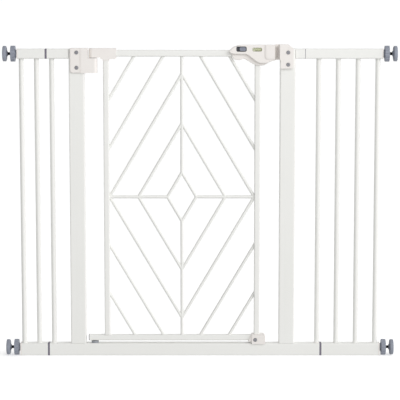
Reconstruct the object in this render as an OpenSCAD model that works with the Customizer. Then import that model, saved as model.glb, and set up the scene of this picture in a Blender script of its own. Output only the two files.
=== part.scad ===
// Pressure-fit safety gate: a welded U frame with a swinging, lifting door,
// two side extensions and four screw spindles that wedge it between walls.
// +X runs to the right, the front faces -Y, +Z is up. The origin is on the
// floor plane, midway between the wall faces, in the plane of the tubes.

/* [Frame] */
// Steel width over the rails, left end to right end
frame_w = 885; // [820:1:1000]
// Height of the frame, floor to the top of the hinge post
frame_h = 762; // [640:1:900]
// Left end of the rails to the outer face of the left post
left_side_w = 122.5; // [120:0.5:140]
// Clear width between the two posts
opening_w = 477; // [400:1:500]
// Width of a post, seen from the front
post_w = 38; // [30:1:50]
// Depth of the frame's tubes, front to back
tube_d = 25; // [22:0.5:30]
// Height of the bottom rail
bottom_rail_h = 31; // [30:0.5:40]
// Height of the top rails
top_rail_h = 24; // [22:0.5:30]
// How far the top rails and posts stop below the frame height
top_drop = 1.5; // [1:0.1:3]
// Wall of every steel tube
wall = 1.5; // [1:0.1:2]
// Corner radius of the rectangular tubes
corner_r = 3; // [2:0.1:4]

/* [Side bars] */
// Diameter of a side bar
bar_d = 12; // [10:0.5:14]
// Wall of a side bar
bar_wall = 1; // [0.8:0.1:1.5]
// Rail end to the first bar of the left extension, on centre
left_bar_from_end = 6.3; // [6:0.1:12]
// Spacing of the two bars of the left extension
left_bar_pitch = 37; // [30:0.5:45]
// Outer face of the left post to the frame's own bar, on centre
frame_bar_from_post = 42.2; // [35:0.1:47]
// Rail end to the first bar of the right extension, on centre
right_bar_from_end = 8.2; // [7:0.1:12]
// Spacing of the outer bars of the right extension
right_bar_pitch = 48.3; // [35:0.1:50]
// Outer face of the right post to the inner bar, on centre
inner_bar_from_post = 57; // [50:0.5:58]
// Thickness of the foot under the inner bar
bar_foot_h = 1.5; // [1:0.1:3]

/* [Extension joints] */
// Outer face of the left post to the left joints, on centre
left_joint_from_post = 55.5; // [52:0.5:60]
// Outer face of the right post to the top joint, on centre
right_top_joint_from_post = 23.5; // [22:0.5:30]
// Outer face of the right post to the bottom joint, on centre
right_bottom_joint_from_post = 66.2; // [64:0.1:75]
// Width of a joint plug's visible band
joint_band = 5; // [3:0.5:8]
// Width of the band of the top right plug
thin_joint_band = 1.2; // [1:0.1:3]
// How far a plug reaches into the tube on each side
plug_reach = 18; // [12:1:20]
// Gap between a plug and the inside of its tube
plug_gap = 0.2; // [0.1:0.05:0.4]
// Wall of a joint plug
plug_wall = 2; // [1.5:0.1:3]

/* [Wall spindles] */
// Rail end to the face of a wall pad
pad_reach = 38.5; // [36:0.5:50]
// Diameter of a spindle
spindle_d = 8; // [6:0.5:10]
// Length of a spindle
spindle_l = 73; // [65:1:85]
// Height of the lower spindles above the floor
low_spindle_z = 20; // [18:0.5:22]
// Diameter of a wall pad
pad_d = 38; // [30:1:50]
// Thickness of a wall pad
pad_t = 9.5; // [8:0.5:12]
// Depth of the blind hole that seats the spindle in its pad
pad_seat = 5.5; // [3:0.5:7]
// Diameter of an adjusting knob over its lobes
knob_d = 39; // [34:1:50]
// Thickness of an adjusting knob
knob_t = 13.5; // [9:0.5:14]
// Number of lobes round a knob
knob_lobes = 12; // [8:1:16]
// Gap between a knob and the end plug that it bears on
knob_gap = 1.5; // [0.5:0.1:3]
// Flange of an end plug
end_flange = 4; // [1.5:0.5:4]
// Radial clearance of a running fit
running_gap = 0.05; // [0.02:0.01:0.1]
// Radial clearance of the spindle in its end plug
spindle_gap = 0.3; // [0.2:0.05:0.6]

/* [Door] */
// Inner face of the left post to the hinge axis
hinge_from_post = 21; // [21:0.5:26]
// Hinge axis to the outer face of the hinge stile
stile_from_hinge = 24.5; // [24:0.5:30]
// Inner face of the right post to the outer face of the latch stile
latch_stile_from_post = 47.5; // [46:0.5:55]
// Width of a stile
stile_w = 14; // [12:0.5:18]
// Depth of the door's tubes
door_d = 18; // [16:0.5:20]
// Height of the door's top rail
door_top_h = 16; // [14:0.5:18]
// Height of the door's bottom rail
door_bottom_h = 14; // [12:0.5:18]
// Frame height to the top of the door's top rail
door_top_drop = 4.5; // [4:0.5:6]
// Gap between the frame's bottom rail and the door's bottom rail
door_floor_gap = 6.5; // [6:0.5:10]
// Hinge axis to the free left end of the door's bottom rail
bottom_tail = 13.7; // [13:0.1:14]
// Outer face of the latch stile to the right end of the bottom rail
bottom_nose = 5.5; // [4:0.5:7]
// Thickness of the door rail's end plug
tail_plug_t = 1.5; // [1:0.1:2]

/* [Door pattern] */
// Diameter of the straight rods of the cross
cross_rod_d = 8; // [7:0.5:10]
// Diameter of the sloping rods
slope_rod_d = 7.6; // [6:0.1:7.8]
// Vertical distance between neighbouring diamonds
diamond_pitch = 121; // [100:0.5:125]
// Half gap where rods meet a neighbour at the cross
rod_gap = 0.5; // [0.3:0.1:1]

/* [Hinge] */
// Diameter of a hinge pin
pin_d = 8; // [6:0.5:9]
// Radius of the knuckle and of the rounded cap end
knuckle_r = 10.7; // [10:0.1:12]
// Top of the knuckle below the frame height
knuckle_drop = 24; // [23:0.5:28]
// Height of the hinge bracket
bracket_h = 60; // [50:1:70]
// Thickness of the bracket in front of the post
bracket_t = 5; // [4:0.5:6]
// Thickness of the bracket behind the post
bracket_back_t = 3; // [2:0.5:5]
// Distance between the two bracket screws
bracket_screw_pitch = 37; // [25:0.5:40]
// Wall of a hinge bush
bush_wall = 2; // [1.5:0.1:3]
// How far the door can be lifted off its catch
door_lift = 12; // [8:0.5:14]

/* [Handle] */
// Length of the handle
handle_l = 112; // [105:1:125]
// Top of the handle above the frame height
handle_rise = 9; // [6:0.5:12]
// Height of the cover at its grip end
cover_grip_h = 23; // [22:0.5:25]
// Further drop of the cover at its latch end
cover_drop = 22; // [18:0.5:26]
// Depth of the handle in front of the door's middle plane
cover_front = 21; // [19:0.5:24]
// Depth of the cover alone
cover_t = 8; // [7:0.5:9]
// Depth of the handle behind the door's middle plane
handle_back_t = 17; // [14:0.5:20]
// Wall of the cover
shell = 2.2; // [1.8:0.1:2.6]
// Raised pad at the cover's latch end: length
end_pad_l = 25.4; // [20:0.2:30]
// Height of the pad, from the cover's top edge
end_pad_h = 36.7; // [30:0.1:38]
// How far the pad stands before the cover
end_pad_rise = 1.8; // [0.5:0.1:2]
// Radius of the pad's lower corner
end_pad_corner = 9; // [3:0.5:12]
// Length of the opening for the slide button
slot_l = 26; // [24:0.5:30]
// Height of the opening for the slide button
slot_h = 13.6; // [12:0.1:15]
// Travel of the slide button
lock_travel = 6; // [4:0.5:6.5]
// Length of the indicator window
window_l = 24; // [18:0.5:28]
// Height of the indicator window
window_h = 9.6; // [8:0.1:11]
// Clearance round sliding pieces
slide_gap = 0.5; // [0.3:0.05:0.8]

/* [Latch post] */
// Gap between the handle's end and the receiver
band_w = 10.5; // [10:0.5:12]
// Thickness of the receiver in front of the post
receiver_t = 7.5; // [6:0.5:9]
// Width of the receiver
receiver_w = 34.2; // [32:0.1:37]
// Height of the receiver's full-width part
receiver_h = 37.5; // [34:0.5:42]
// Height of the narrow tab below it
receiver_tab_h = 20.5; // [16:0.5:24]

/* [Hidden] */
$fn = 64;
eps = 0.01;

// Places along X, left to right
x_left = -frame_w / 2;
x_right = frame_w / 2;
left_post_x = x_left + left_side_w;
door_x0 = left_post_x + post_w;
door_x1 = door_x0 + opening_w;
right_post_out = door_x1 + post_w;
left_joint_x = left_post_x - left_joint_from_post;
right_top_joint_x = right_post_out + right_top_joint_from_post;
right_bottom_joint_x = right_post_out + right_bottom_joint_from_post;
frame_bar_x = left_post_x - frame_bar_from_post;
inner_bar_x = right_post_out + inner_bar_from_post;
hinge_x = door_x0 + hinge_from_post;
stile_x0 = hinge_x + stile_from_hinge;
stile_x1 = door_x1 - latch_stile_from_post;
in_x0 = stile_x0 + stile_w;
in_x1 = stile_x1 - stile_w;
mid_x = (in_x0 + in_x1) / 2;
in_half = (in_x1 - in_x0) / 2;

// Heights
steel_top = frame_h - top_drop;
top_rail_z = steel_top - top_rail_h;
top_spindle_z = top_rail_z + top_rail_h / 2;
door_top_z1 = frame_h - door_top_drop;
door_top_z0 = door_top_z1 - door_top_h;
door_low_z0 = bottom_rail_h + door_floor_gap;
door_low_z1 = door_low_z0 + door_bottom_h;
mid_z = (door_top_z0 + door_low_z1) / 2;

// Depths
tube_front = -tube_d / 2;
bracket_front = tube_front - bracket_t;
door_half = door_d / 2;

// Colours
white_paint = [0.93, 0.93, 0.91];
white_plastic = [0.92, 0.905, 0.89];
grey_plastic = [0.52, 0.54, 0.58];
joint_grey = [0.42, 0.41, 0.45];
dark_steel = [0.16, 0.17, 0.19];
bright_steel = [0.7, 0.7, 0.72];
button_grey = [0.36, 0.39, 0.47];
flag_green = [0.72, 0.78, 0.42];

// ---------- shared shapes ----------

// Rectangle with round corners, centred
module round_rect(w, h, r) {
  square([w - 2 * r, h], center = true);
  square([w, h - 2 * r], center = true);
  for (sx = [-1, 1], sy = [-1, 1])
    translate([sx * (w / 2 - r), sy * (h / 2 - r)]) circle(r);
}

// Rectangular tube section, centred
module tube_section(w, h) {
  difference() {
    round_rect(w, h, corner_r);
    round_rect(w - 2 * wall, h - 2 * wall, corner_r - wall);
  }
}

// Extrudes along X from x0 to x1; the child is drawn as (Y, Z) about height z
module along_x(x0, x1, z) {
  translate([x0, 0, z]) rotate([90, 0, 90]) linear_extrude(x1 - x0) children();
}

// Extrudes along Y from y0 to y1; the child is drawn as (X, Z)
module along_y(y0, y1) {
  translate([0, y1, 0]) rotate([90, 0, 0]) linear_extrude(y1 - y0) children();
}

// Box between two corners
module box(p0, p1) {
  translate(p0) cube(p1 - p0);
}

// Cylinder along Y from y0 to y1
module rod_y(x, z, r, y0, y1) {
  translate([x, y0, z]) rotate([-90, 0, 0]) cylinder(r = r, h = y1 - y0);
}

// Horizontal rail tube from x0 to x1, standing on height z0
module rail(x0, x1, z0, h) {
  along_x(x0, x1, z0 + h / 2) tube_section(tube_d, h);
}

// Wire coil about +Z: mean radius, wire radius, turns and free length
module coil(mean_r, wire_r, turns, length) {
  sides = 8;
  per_turn = 16;
  rings = turns * per_turn;
  rise = (length - 2 * wire_r) / rings;
  points = [
    for (i = [0:rings], j = [0:sides - 1])
      let (a = 360 * i / per_turn, b = 360 * j / sides, r = mean_r + wire_r * cos(b))
        [r * cos(a), r * sin(a), wire_r + rise * i + wire_r * sin(b)]
  ];
  skin = [
    for (i = [0:rings - 1], j = [0:sides - 1])
      let (k = (j + 1) % sides, p = i * sides, q = p + sides)
        [p + j, q + j, q + k, p + k]
  ];
  first = [for (j = [0:sides - 1]) j];
  last = [for (j = [0:sides - 1]) rings * sides + sides - 1 - j];
  polyhedron(points = points, faces = concat([first], skin, [last]), convexity = 10);
}

// ---------- frame ----------

module post(x) {
  difference() {
    translate([x + post_w / 2, 0, bottom_rail_h])
      linear_extrude(steel_top - bottom_rail_h) tube_section(post_w, tube_d);
    children();
  }
}

module left_post() {
  color(white_paint) post(left_post_x) bracket_screw_holes();
}

module right_post() {
  color(white_paint) post(door_x1) receiver_screw_holes();
}

module bottom_rail() {
  color(white_paint) difference() {
    rail(left_joint_x + joint_band / 2, right_bottom_joint_x - joint_band / 2, 0, bottom_rail_h);
    translate([hinge_x, 0, bottom_rail_h / 2]) cylinder(r = bush_r, h = bottom_rail_h);
  }
}

module left_top_stub() {
  color(white_paint) rail(left_joint_x + joint_band / 2, left_post_x, top_rail_z, top_rail_h);
}

module right_top_stub() {
  x1 = right_top_joint_x - thin_joint_band / 2;
  color(white_paint) rail(right_post_out, x1, top_rail_z, top_rail_h);
}

module side_bar(x, z0 = bottom_rail_h) {
  translate([x, 0, z0]) difference() {
    cylinder(d = bar_d, h = top_rail_z - z0);
    translate([0, 0, -eps])
      cylinder(r = bar_d / 2 - bar_wall, h = top_rail_z - z0 + 2 * eps);
  }
}

module frame_bar() {
  color(white_paint) side_bar(frame_bar_x);
}

// ---------- side extensions ----------

module left_extension_top_rail() {
  color(white_paint) rail(x_left, left_joint_x - joint_band / 2, top_rail_z, top_rail_h);
}

module left_extension_bottom_rail() {
  color(white_paint) rail(x_left, left_joint_x - joint_band / 2, 0, bottom_rail_h);
}

module left_extension_bars() {
  color(white_paint) for (k = [0:1])
    side_bar(x_left + left_bar_from_end + k * left_bar_pitch);
}

module right_extension_top_rail() {
  x0 = right_top_joint_x + thin_joint_band / 2;
  color(white_paint) rail(x0, x_right, top_rail_z, top_rail_h);
}

module right_extension_bottom_rail() {
  x0 = right_bottom_joint_x + joint_band / 2;
  color(white_paint) rail(x0, x_right, 0, bottom_rail_h);
}

module right_extension_bars() {
  color(white_paint) {
    for (k = [0:2]) side_bar(x_right - right_bar_from_end - k * right_bar_pitch);
    side_bar(inner_bar_x, bottom_rail_h + bar_foot_h);
  }
}

// Plastic foot of the inner bar, which only stands on the frame's rail
module bar_foot_plug() {
  spigot_l = 12;
  color(white_plastic) translate([inner_bar_x, 0, bottom_rail_h]) {
    cylinder(d = bar_d, h = bar_foot_h);
    cylinder(r = bar_d / 2 - bar_wall, h = bar_foot_h + spigot_l);
  }
}

// ---------- tube plugs ----------

// Corner radius of the plugs, which follows the inside of the tubes
plug_corner_r = corner_r - wall;

// Section of a plug inside a rail of height h, with a core of the given wall
module plug_section(h, core_wall) {
  w = tube_d - 2 * (wall + plug_gap);
  d = h - 2 * (wall + plug_gap);
  difference() {
    round_rect(w, d, plug_corner_r);
    square([w - 2 * core_wall, d - 2 * core_wall], center = true);
  }
}

module joint_plug(x, z0, h, band) {
  mid = z0 + h / 2;
  core = [tube_d - 2 * (wall + plug_gap + plug_wall), h - 2 * (wall + plug_gap + plug_wall)];
  along_x(x - band / 2 - plug_reach, x + band / 2 + plug_reach, mid) plug_section(h, plug_wall);
  along_x(x - band / 2, x + band / 2, mid) difference() {
    round_rect(tube_d, h, corner_r);
    square(core, center = true);
  }
}

module top_joint_plugs() {
  color(joint_grey) {
    joint_plug(left_joint_x, top_rail_z, top_rail_h, joint_band);
    joint_plug(right_top_joint_x, top_rail_z, top_rail_h, thin_joint_band);
  }
}

module bottom_joint_plugs() {
  color(joint_grey) for (x = [left_joint_x, right_bottom_joint_x])
    joint_plug(x, 0, bottom_rail_h, joint_band);
}

// Plug that closes a rail's outer end and guides the spindle; side is -1 or 1
module end_plug(side, z0, h, spindle_z) {
  w = tube_d - 2 * (wall + plug_gap);
  d = h - 2 * (wall + plug_gap);
  mirror([side < 0 ? 1 : 0, 0, 0]) difference() {
    union() {
      along_x(x_right - plug_reach, x_right + eps, z0 + h / 2) round_rect(w, d, plug_corner_r);
      along_x(x_right, x_right + end_flange, z0 + h / 2) round_rect(tube_d, h, corner_r);
    }
    translate([x_right - plug_reach - 1, 0, spindle_z]) rotate([0, 90, 0])
      cylinder(r = spindle_d / 2 + spindle_gap, h = plug_reach + end_flange + 2);
  }
}

module top_end_plugs() {
  color(white_plastic) for (side = [-1, 1])
    end_plug(side, top_rail_z, top_rail_h, top_spindle_z);
}

module bottom_end_plugs() {
  color(white_plastic) for (side = [-1, 1])
    end_plug(side, 0, bottom_rail_h, low_spindle_z);
}

// ---------- wall spindles, pads and knobs ----------

pad_face_x = x_right + pad_reach;
spindle_tip_x = pad_face_x - pad_t + pad_seat;
pad_hub_r = 7;
pad_hub_l = 2.5;
pad_edge_r = 2.5;
knob_x = x_right + end_flange + knob_gap;
knob_edge_r = 2;
knob_hub_r = 10;
knob_step = 2.5;

// Puts a shape drawn about +Z (pointing at the wall) on one of the four axes
module on_axis(side, x, z) {
  mirror([side < 0 ? 1 : 0, 0, 0]) translate([x, 0, z]) rotate([0, 90, 0]) children();
}

module spindle(side, z) {
  color(dark_steel) on_axis(side, spindle_tip_x - spindle_l, z)
    cylinder(d = spindle_d, h = spindle_l);
}

// Half section of a disc with rounded edges, for turning about Z
module disc_profile(r, t, edge) {
  square([r - edge, t]);
  translate([0, edge]) square([r, t - 2 * edge]);
  for (y = [edge, t - edge]) translate([r - edge, y]) circle(edge);
}

module wall_pad(side, z) {
  color(grey_plastic) on_axis(side, pad_face_x - pad_t, z) difference() {
    union() {
      rotate_extrude() disc_profile(pad_d / 2, pad_t, pad_edge_r);
      translate([0, 0, -pad_hub_l]) cylinder(r = pad_hub_r, h = pad_hub_l + eps);
    }
    translate([0, 0, -pad_hub_l - 1]) cylinder(d = spindle_d, h = pad_hub_l + 1 + pad_seat);
  }
}

module knob(side, z) {
  flute_r = PI * knob_d / knob_lobes / 4;
  color(grey_plastic) on_axis(side, knob_x, z) difference() {
    union() {
      translate([0, 0, knob_step])
        rotate_extrude() disc_profile(knob_d / 2, knob_t - knob_step, knob_edge_r);
      cylinder(r = knob_hub_r, h = knob_step + eps);
    }
    for (k = [0:knob_lobes - 1])
      rotate(k * 360 / knob_lobes) translate([knob_d / 2 + flute_r * 0.55, 0, knob_step - 1])
        cylinder(r = flute_r, h = knob_t + 2);
    translate([0, 0, -1]) cylinder(r = spindle_d / 2 + running_gap, h = knob_t + 2);
  }
}

module spindle_left_top() { spindle(-1, top_spindle_z); }
module spindle_left_bottom() { spindle(-1, low_spindle_z); }
module spindle_right_top() { spindle(1, top_spindle_z); }
module spindle_right_bottom() { spindle(1, low_spindle_z); }
module wall_pad_left_top() { wall_pad(-1, top_spindle_z); }
module wall_pad_left_bottom() { wall_pad(-1, low_spindle_z); }
module wall_pad_right_top() { wall_pad(1, top_spindle_z); }
module wall_pad_right_bottom() { wall_pad(1, low_spindle_z); }
module knob_left_top() { knob(-1, top_spindle_z); }
module knob_left_bottom() { knob(-1, low_spindle_z); }
module knob_right_top() { knob(1, top_spindle_z); }
module knob_right_bottom() { knob(1, low_spindle_z); }

// ---------- hinge ----------

bracket_z0 = frame_h - bracket_h;
bracket_left = left_post_x + 3;
bracket_seam = door_x0 - 9.5;
cheek_x1 = door_x0 + 8;
bracket_screw_x = door_x0 - 18.5;
bracket_screw_z = [frame_h - 10, frame_h - 10 - bracket_screw_pitch];
screw_r = 2;
screw_head_r = 4.6;
screw_head_t = 2.5;
screw_sink = 1.6;
screw_l = 14;
knuckle_z1 = frame_h - knuckle_drop;
bush_r = pin_d / 2 + running_gap + bush_wall;
spring_room_r = 9.3;
spring_room_h = 18;
bush_lip = 0.8;
low_bush_depth = 15;
pin_head_r = 6.5;
pin_head_t = 3;
cap_z0 = knuckle_z1 + bush_lip + 0.3;
cap_z1 = frame_h - 0.2;
pin_head_z = cap_z0 + 10;

module bracket_screw_holes() {
  for (z = bracket_screw_z) rod_y(bracket_screw_x, z, screw_r, bracket_front - 1, 0);
}

// A screw's seat in a front face at y
module screw_seat(x, z, y) {
  rod_y(x, z, screw_head_r + 0.3, y - 1, y + screw_sink);
  rod_y(x, z, screw_r, y - 1, y + screw_l);
}

// The bracket's section round the post between two places on X
module post_clip(x0, x1) {
  box([x0, bracket_front, bracket_z0], [x1, tube_front, frame_h]);
  box([x0, tube_front - eps, steel_top], [x1, tube_d / 2 + eps, frame_h]);
  box([x0, tube_d / 2, bracket_z0], [x1, tube_d / 2 + bracket_back_t, frame_h]);
}

module hinge_bracket() {
  round_r = 7;
  color(white_plastic) difference() {
    post_clip(bracket_left, bracket_seam);
    for (z = bracket_screw_z) screw_seat(bracket_screw_x, z, bracket_front);
    along_y(bracket_front - 1, tube_d) translate([bracket_left, bracket_z0]) difference() {
      square(round_r * 2, center = true);
      translate([round_r, round_r]) circle(round_r);
      translate([round_r, -round_r]) square(3 * round_r);
      translate([-round_r, round_r]) square(3 * round_r);
    }
  }
}

// Section of the knuckle beyond the cheek: a boss that is flush with the
// bracket's front, with a rounded front corner and a round back
module knuckle_section() {
  corner = 8;
  side = knuckle_r - corner;
  circle(knuckle_r);
  translate([cheek_x1 - hinge_x - eps, bracket_front])
    square([side - (cheek_x1 - hinge_x) + eps, -bracket_front]);
  translate([side, bracket_front + corner]) circle(corner);
  translate([0, bracket_front + corner]) square([knuckle_r, -bracket_front - corner]);
  translate([cheek_x1 - hinge_x - eps, -eps]) square([hinge_x - cheek_x1 + eps, knuckle_r + eps]);
}

module hinge_knuckle() {
  top_r = 3.5;
  right = hinge_x + knuckle_r;
  color(white_plastic) difference() {
    union() {
      post_clip(bracket_seam, door_x0);
      box([door_x0, bracket_front, bracket_z0], [cheek_x1, tube_d / 2 + bracket_back_t, frame_h]);
      translate([hinge_x, 0, bracket_z0])
        linear_extrude(knuckle_z1 - bracket_z0) knuckle_section();
    }
    along_y(-tube_d, tube_d) translate([right - top_r, knuckle_z1 - top_r]) difference() {
      square(top_r + 1);
      circle(top_r);
    }
    translate([hinge_x, 0, bracket_z0 - 1]) {
      cylinder(r = spring_room_r, h = spring_room_h + 1);
      cylinder(r = bush_r, h = bracket_h);
    }
  }
}

module bracket_screws() {
  color(dark_steel) {
    for (z = bracket_screw_z) screw(bracket_screw_x, z, bracket_front);
    for (z = receiver_screw_z) screw(receiver_screw_x, z, receiver_front);
  }
}

// Pan-head screw seated in a front face at y, with a cross recess
module screw(x, z, y) {
  head_y = y + screw_sink;
  difference() {
    union() {
      rod_y(x, z, screw_head_r, head_y - screw_head_t, head_y);
      rod_y(x, z, screw_r, head_y, y + screw_l);
    }
    for (turn = [0, 90])
      translate([x, head_y - screw_head_t, z]) rotate([0, turn, 0])
        cube([5, 2.4, 1], center = true);
  }
}

// Flanged bush about the hinge axis: body from z0 up to z1, flange to z2
module bush(z0, z1, z2, flange_r) {
  translate([hinge_x, 0, z0]) difference() {
    union() {
      cylinder(r = bush_r, h = z2 - z0);
      translate([0, 0, z1 - z0]) cylinder(r = flange_r, h = z2 - z1);
    }
    translate([0, 0, -1]) cylinder(r = pin_d / 2 + running_gap, h = z2 - z0 + 2);
  }
}

module hinge_bushes() {
  color(grey_plastic) {
    bush(bracket_z0 + spring_room_h, knuckle_z1, knuckle_z1 + bush_lip, bush_r + 1.5);
    bush(bottom_rail_h - low_bush_depth, bottom_rail_h, door_low_z0 - 0.7, bush_r + 3);
  }
}

// Torsion spring that swings the door shut
module hinge_spring() {
  color(bright_steel) translate([hinge_x, 0, bracket_z0 + 2]) coil(7, 0.8, 6, spring_room_h - 3);
}

module hinge_pin(z0, head_z, head_r, head_t) {
  translate([hinge_x, 0, z0]) cylinder(d = pin_d, h = head_z - z0 + eps);
  translate([hinge_x, 0, head_z]) cylinder(r = head_r, h = head_t);
}

module upper_hinge_pin() {
  color(bright_steel) hinge_pin(bracket_z0 + 6, pin_head_z, pin_head_r, pin_head_t);
}

low_head_r = 6;
low_head_t = 2;

module lower_hinge_pin() {
  z0 = bottom_rail_h - low_bush_depth + 2;
  color(bright_steel) hinge_pin(z0, door_low_z0 + wall + 0.2, low_head_r, low_head_t);
}

// ---------- door frame ----------

module stile(x0) {
  translate([x0 + stile_w / 2, 0, door_low_z1])
    linear_extrude(door_top_z0 - door_low_z1) tube_section(stile_w, door_d);
}

module hinge_stile() {
  color(white_paint) stile(stile_x0);
}

module latch_stile() {
  color(white_paint) stile(in_x1);
}

module door_top_rail() {
  color(white_paint) along_x(stile_x0, stile_x1, (door_top_z0 + door_top_z1) / 2)
    tube_section(door_d, door_top_h);
}

module door_bottom_rail() {
  color(white_paint) difference() {
    along_x(hinge_x - bottom_tail, stile_x1 + bottom_nose, (door_low_z0 + door_low_z1) / 2)
      tube_section(door_d, door_bottom_h);
    translate([hinge_x, 0, door_low_z0 - 1])
      cylinder(r = pin_d / 2 + running_gap, h = door_bottom_h / 2);
    rod_y(latch_screw_x, latch_screw_z, screw_r, -door_d, 0);
  }
}

// Dark plug in the free left end of the door's bottom rail
module door_rail_plug() {
  reach = 5.5;
  w = door_d - 2 * (wall + plug_gap);
  h = door_bottom_h - 2 * (wall + plug_gap);
  x1 = hinge_x - bottom_tail;
  z = (door_low_z0 + door_low_z1) / 2;
  color(joint_grey) {
    along_x(x1 - tail_plug_t, x1, z) round_rect(door_d, door_bottom_h, corner_r);
    along_x(x1 - eps, x1 + reach, z) round_rect(w, h, plug_corner_r);
  }
}

// ---------- door pattern ----------

// Slope of every sloping rod: the large diamond just reaches the stiles
slope = 2.5 * diamond_pitch / in_half;
slope_angle = atan(slope);
cross_r = cross_rod_d / 2;
slope_r = slope_rod_d / 2;
up_half = door_top_z0 - mid_z;
small_half = diamond_pitch / 2;

// One sloping rod about the pattern's centre, meeting the upright at height h,
// in the upper right quarter, as a plain long cylinder
module slope_line(h) {
  reach = 2 * (in_half + up_half);
  translate([0, 0, h]) rotate([0, 90 + slope_angle, 0])
    translate([0, 0, -reach / 2]) cylinder(r = slope_r, h = reach);
}

// The cross: an upright and a level rod through the centre
module cross_lines() {
  translate([0, 0, -frame_h]) cylinder(r = cross_r, h = 2 * frame_h);
  translate([-frame_w, 0, 0]) rotate([0, 90, 0]) cylinder(r = cross_r, h = 2 * frame_w);
}

module quarters() {
  translate([mid_x, 0, mid_z])
    for (sx = [0, 1], sz = [0, 1]) mirror([sx, 0, 0]) mirror([0, 0, sz]) children();
}

// The four rods of one ring, cut square by the door frame and coped to the cross
module ring_rods(h) {
  quarters() difference() {
    intersection() {
      slope_line(h);
      box([rod_gap, -door_d, rod_gap], [in_half, door_d, up_half]);
    }
    cross_lines();
  }
}

module small_ring() {
  for (sx = [0, 1], sz = [0, 1]) mirror([sx, 0, 0]) mirror([0, 0, sz]) intersection() {
    slope_line(small_half);
    box([0, -door_d, 0], [in_half, door_d, up_half]);
  }
}

module small_diamond() {
  color(white_paint) translate([mid_x, 0, mid_z]) small_ring();
}

module middle_diamond_rods() {
  color(white_paint) ring_rods(1.5 * diamond_pitch);
}

module large_diamond_rods() {
  color(white_paint) ring_rods(2.5 * diamond_pitch);
}

module corner_rods() {
  color(white_paint) for (k = [3.5, 4.5]) ring_rods(k * diamond_pitch);
}

module centre_rods() {
  color(white_paint) translate([mid_x, 0, mid_z]) for (sz = [0, 1]) mirror([0, 0, sz])
    difference() {
      translate([0, 0, small_half]) cylinder(r = cross_r, h = up_half - small_half);
      small_ring();
    }
}

module side_rods() {
  x0 = small_half / slope;
  color(white_paint) translate([mid_x, 0, mid_z]) for (sx = [0, 1]) mirror([sx, 0, 0])
    difference() {
      translate([x0, 0, 0]) rotate([0, 90, 0]) cylinder(r = cross_r, h = in_half - x0);
      small_ring();
    }
}

// ---------- door fittings ----------

cap_x1 = in_x0 + 18;
cap_collar = 3.2;
cap_step = 3.5;
cap_low_z = cap_z0 - cap_step;
cap_step_x = hinge_x + knuckle_r + 7.9;

module hinge_corner_cap() {
  cap_half = knuckle_r;
  collar_t = 1.5;
  color(white_plastic) difference() {
    union() {
      translate([hinge_x, 0, cap_z0]) cylinder(r = cap_half, h = cap_z1 - cap_z0);
      box([hinge_x, -cap_half, cap_z0], [cap_x1, cap_half, cap_z1]);
      box([cap_step_x, -cap_half, cap_low_z], [cap_x1, cap_half, cap_z0 + eps]);
      box([stile_x0 - collar_t, -cap_half, cap_low_z - cap_collar],
          [in_x0 + collar_t, cap_half, cap_low_z + eps]);
    }
    box([stile_x0, -door_half, door_top_z0], [cap_x1 + 1, door_half, door_top_z1]);
    box([stile_x0, -door_half, cap_low_z - cap_collar - 1], [in_x0, door_half, door_top_z0 + eps]);
    along_y(-tube_d, tube_d) translate([cap_x1, cap_low_z]) difference() {
      square(8, center = true);
      translate([-4, 4]) circle(4);
      translate([-12, 0]) square([8, 8]);
      translate([-8, 4]) square([12, 8]);
    }
    translate([hinge_x, 0, cap_z0 - 1]) cylinder(r = pin_d / 2 + running_gap, h = 15);
    translate([hinge_x, 0, pin_head_z - 0.1])
      cylinder(r = pin_head_r + 0.3, h = pin_head_t + 0.2);
  }
}

latch_x0 = stile_x1 - 28;
latch_x1 = stile_x1 + 14.5;
latch_z1 = door_low_z1 + 2;
latch_screw_x = latch_x0 + 17.5;
latch_screw_z = door_low_z0 + 3;
latch_front = -17;
latch_lip = 0.7;

// Foot on the door's lower corner; its front plate hooks over the frame's rail
module bottom_latch() {
  rake = 9;
  color(white_plastic) difference() {
    union() {
      along_y(-14, 12) polygon([
        [latch_x0, door_low_z0 - 2], [latch_x1, door_low_z0 - 2], [latch_x1, latch_z1 - 5],
        [latch_x1 - 4, latch_z1], [latch_x0 + rake, latch_z1], [latch_x0, door_low_z0 + 3]
      ]);
      along_y(latch_front, tube_front - latch_lip)
        translate([(latch_x0 + rake + latch_x1 - 1) / 2, (bottom_rail_h + latch_z1) / 2 - 1])
          round_rect(latch_x1 - latch_x0 - rake - 1, latch_z1 - bottom_rail_h, 3);
    }
    box([latch_x0 - 1, -door_half, door_low_z0], [stile_x1 + bottom_nose, door_half, door_low_z1]);
    box([in_x1, -door_half, door_low_z1 - 1], [stile_x1, door_half, latch_z1 + 1]);
    screw_seat(latch_screw_x, latch_screw_z, latch_front);
  }
}

// Self-tapping screws: one through the bottom latch, two in the handle's back
module door_screws() {
  color(dark_steel) {
    screw(latch_screw_x, latch_screw_z, latch_front);
    for (x = back_screw_x)
      mirror([0, 1, 0]) screw(x, back_screw_z, -handle_back_t);
  }
}

// ---------- handle ----------

handle_x1 = door_x1 - band_w - 2;
handle_x0 = handle_x1 - handle_l;
handle_z1 = frame_h + handle_rise;
grip_z = handle_z1 - cover_grip_h;
split_y = -cover_front + cover_t;
back_screw_x = [handle_x0 + 60, handle_x1 - 12];
back_screw_z = handle_z1 - 34;
body_top_z = handle_z1 - 1.2;

function ease(t) = let (c = min(max(t, 0), 1)) c * c * (3 - 2 * c);
function bend(a, b, c, n) = [for (i = [0:n]) let (t = i / n)
  a * (1 - t) * (1 - t) + b * 2 * t * (1 - t) + c * t * t];

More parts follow.
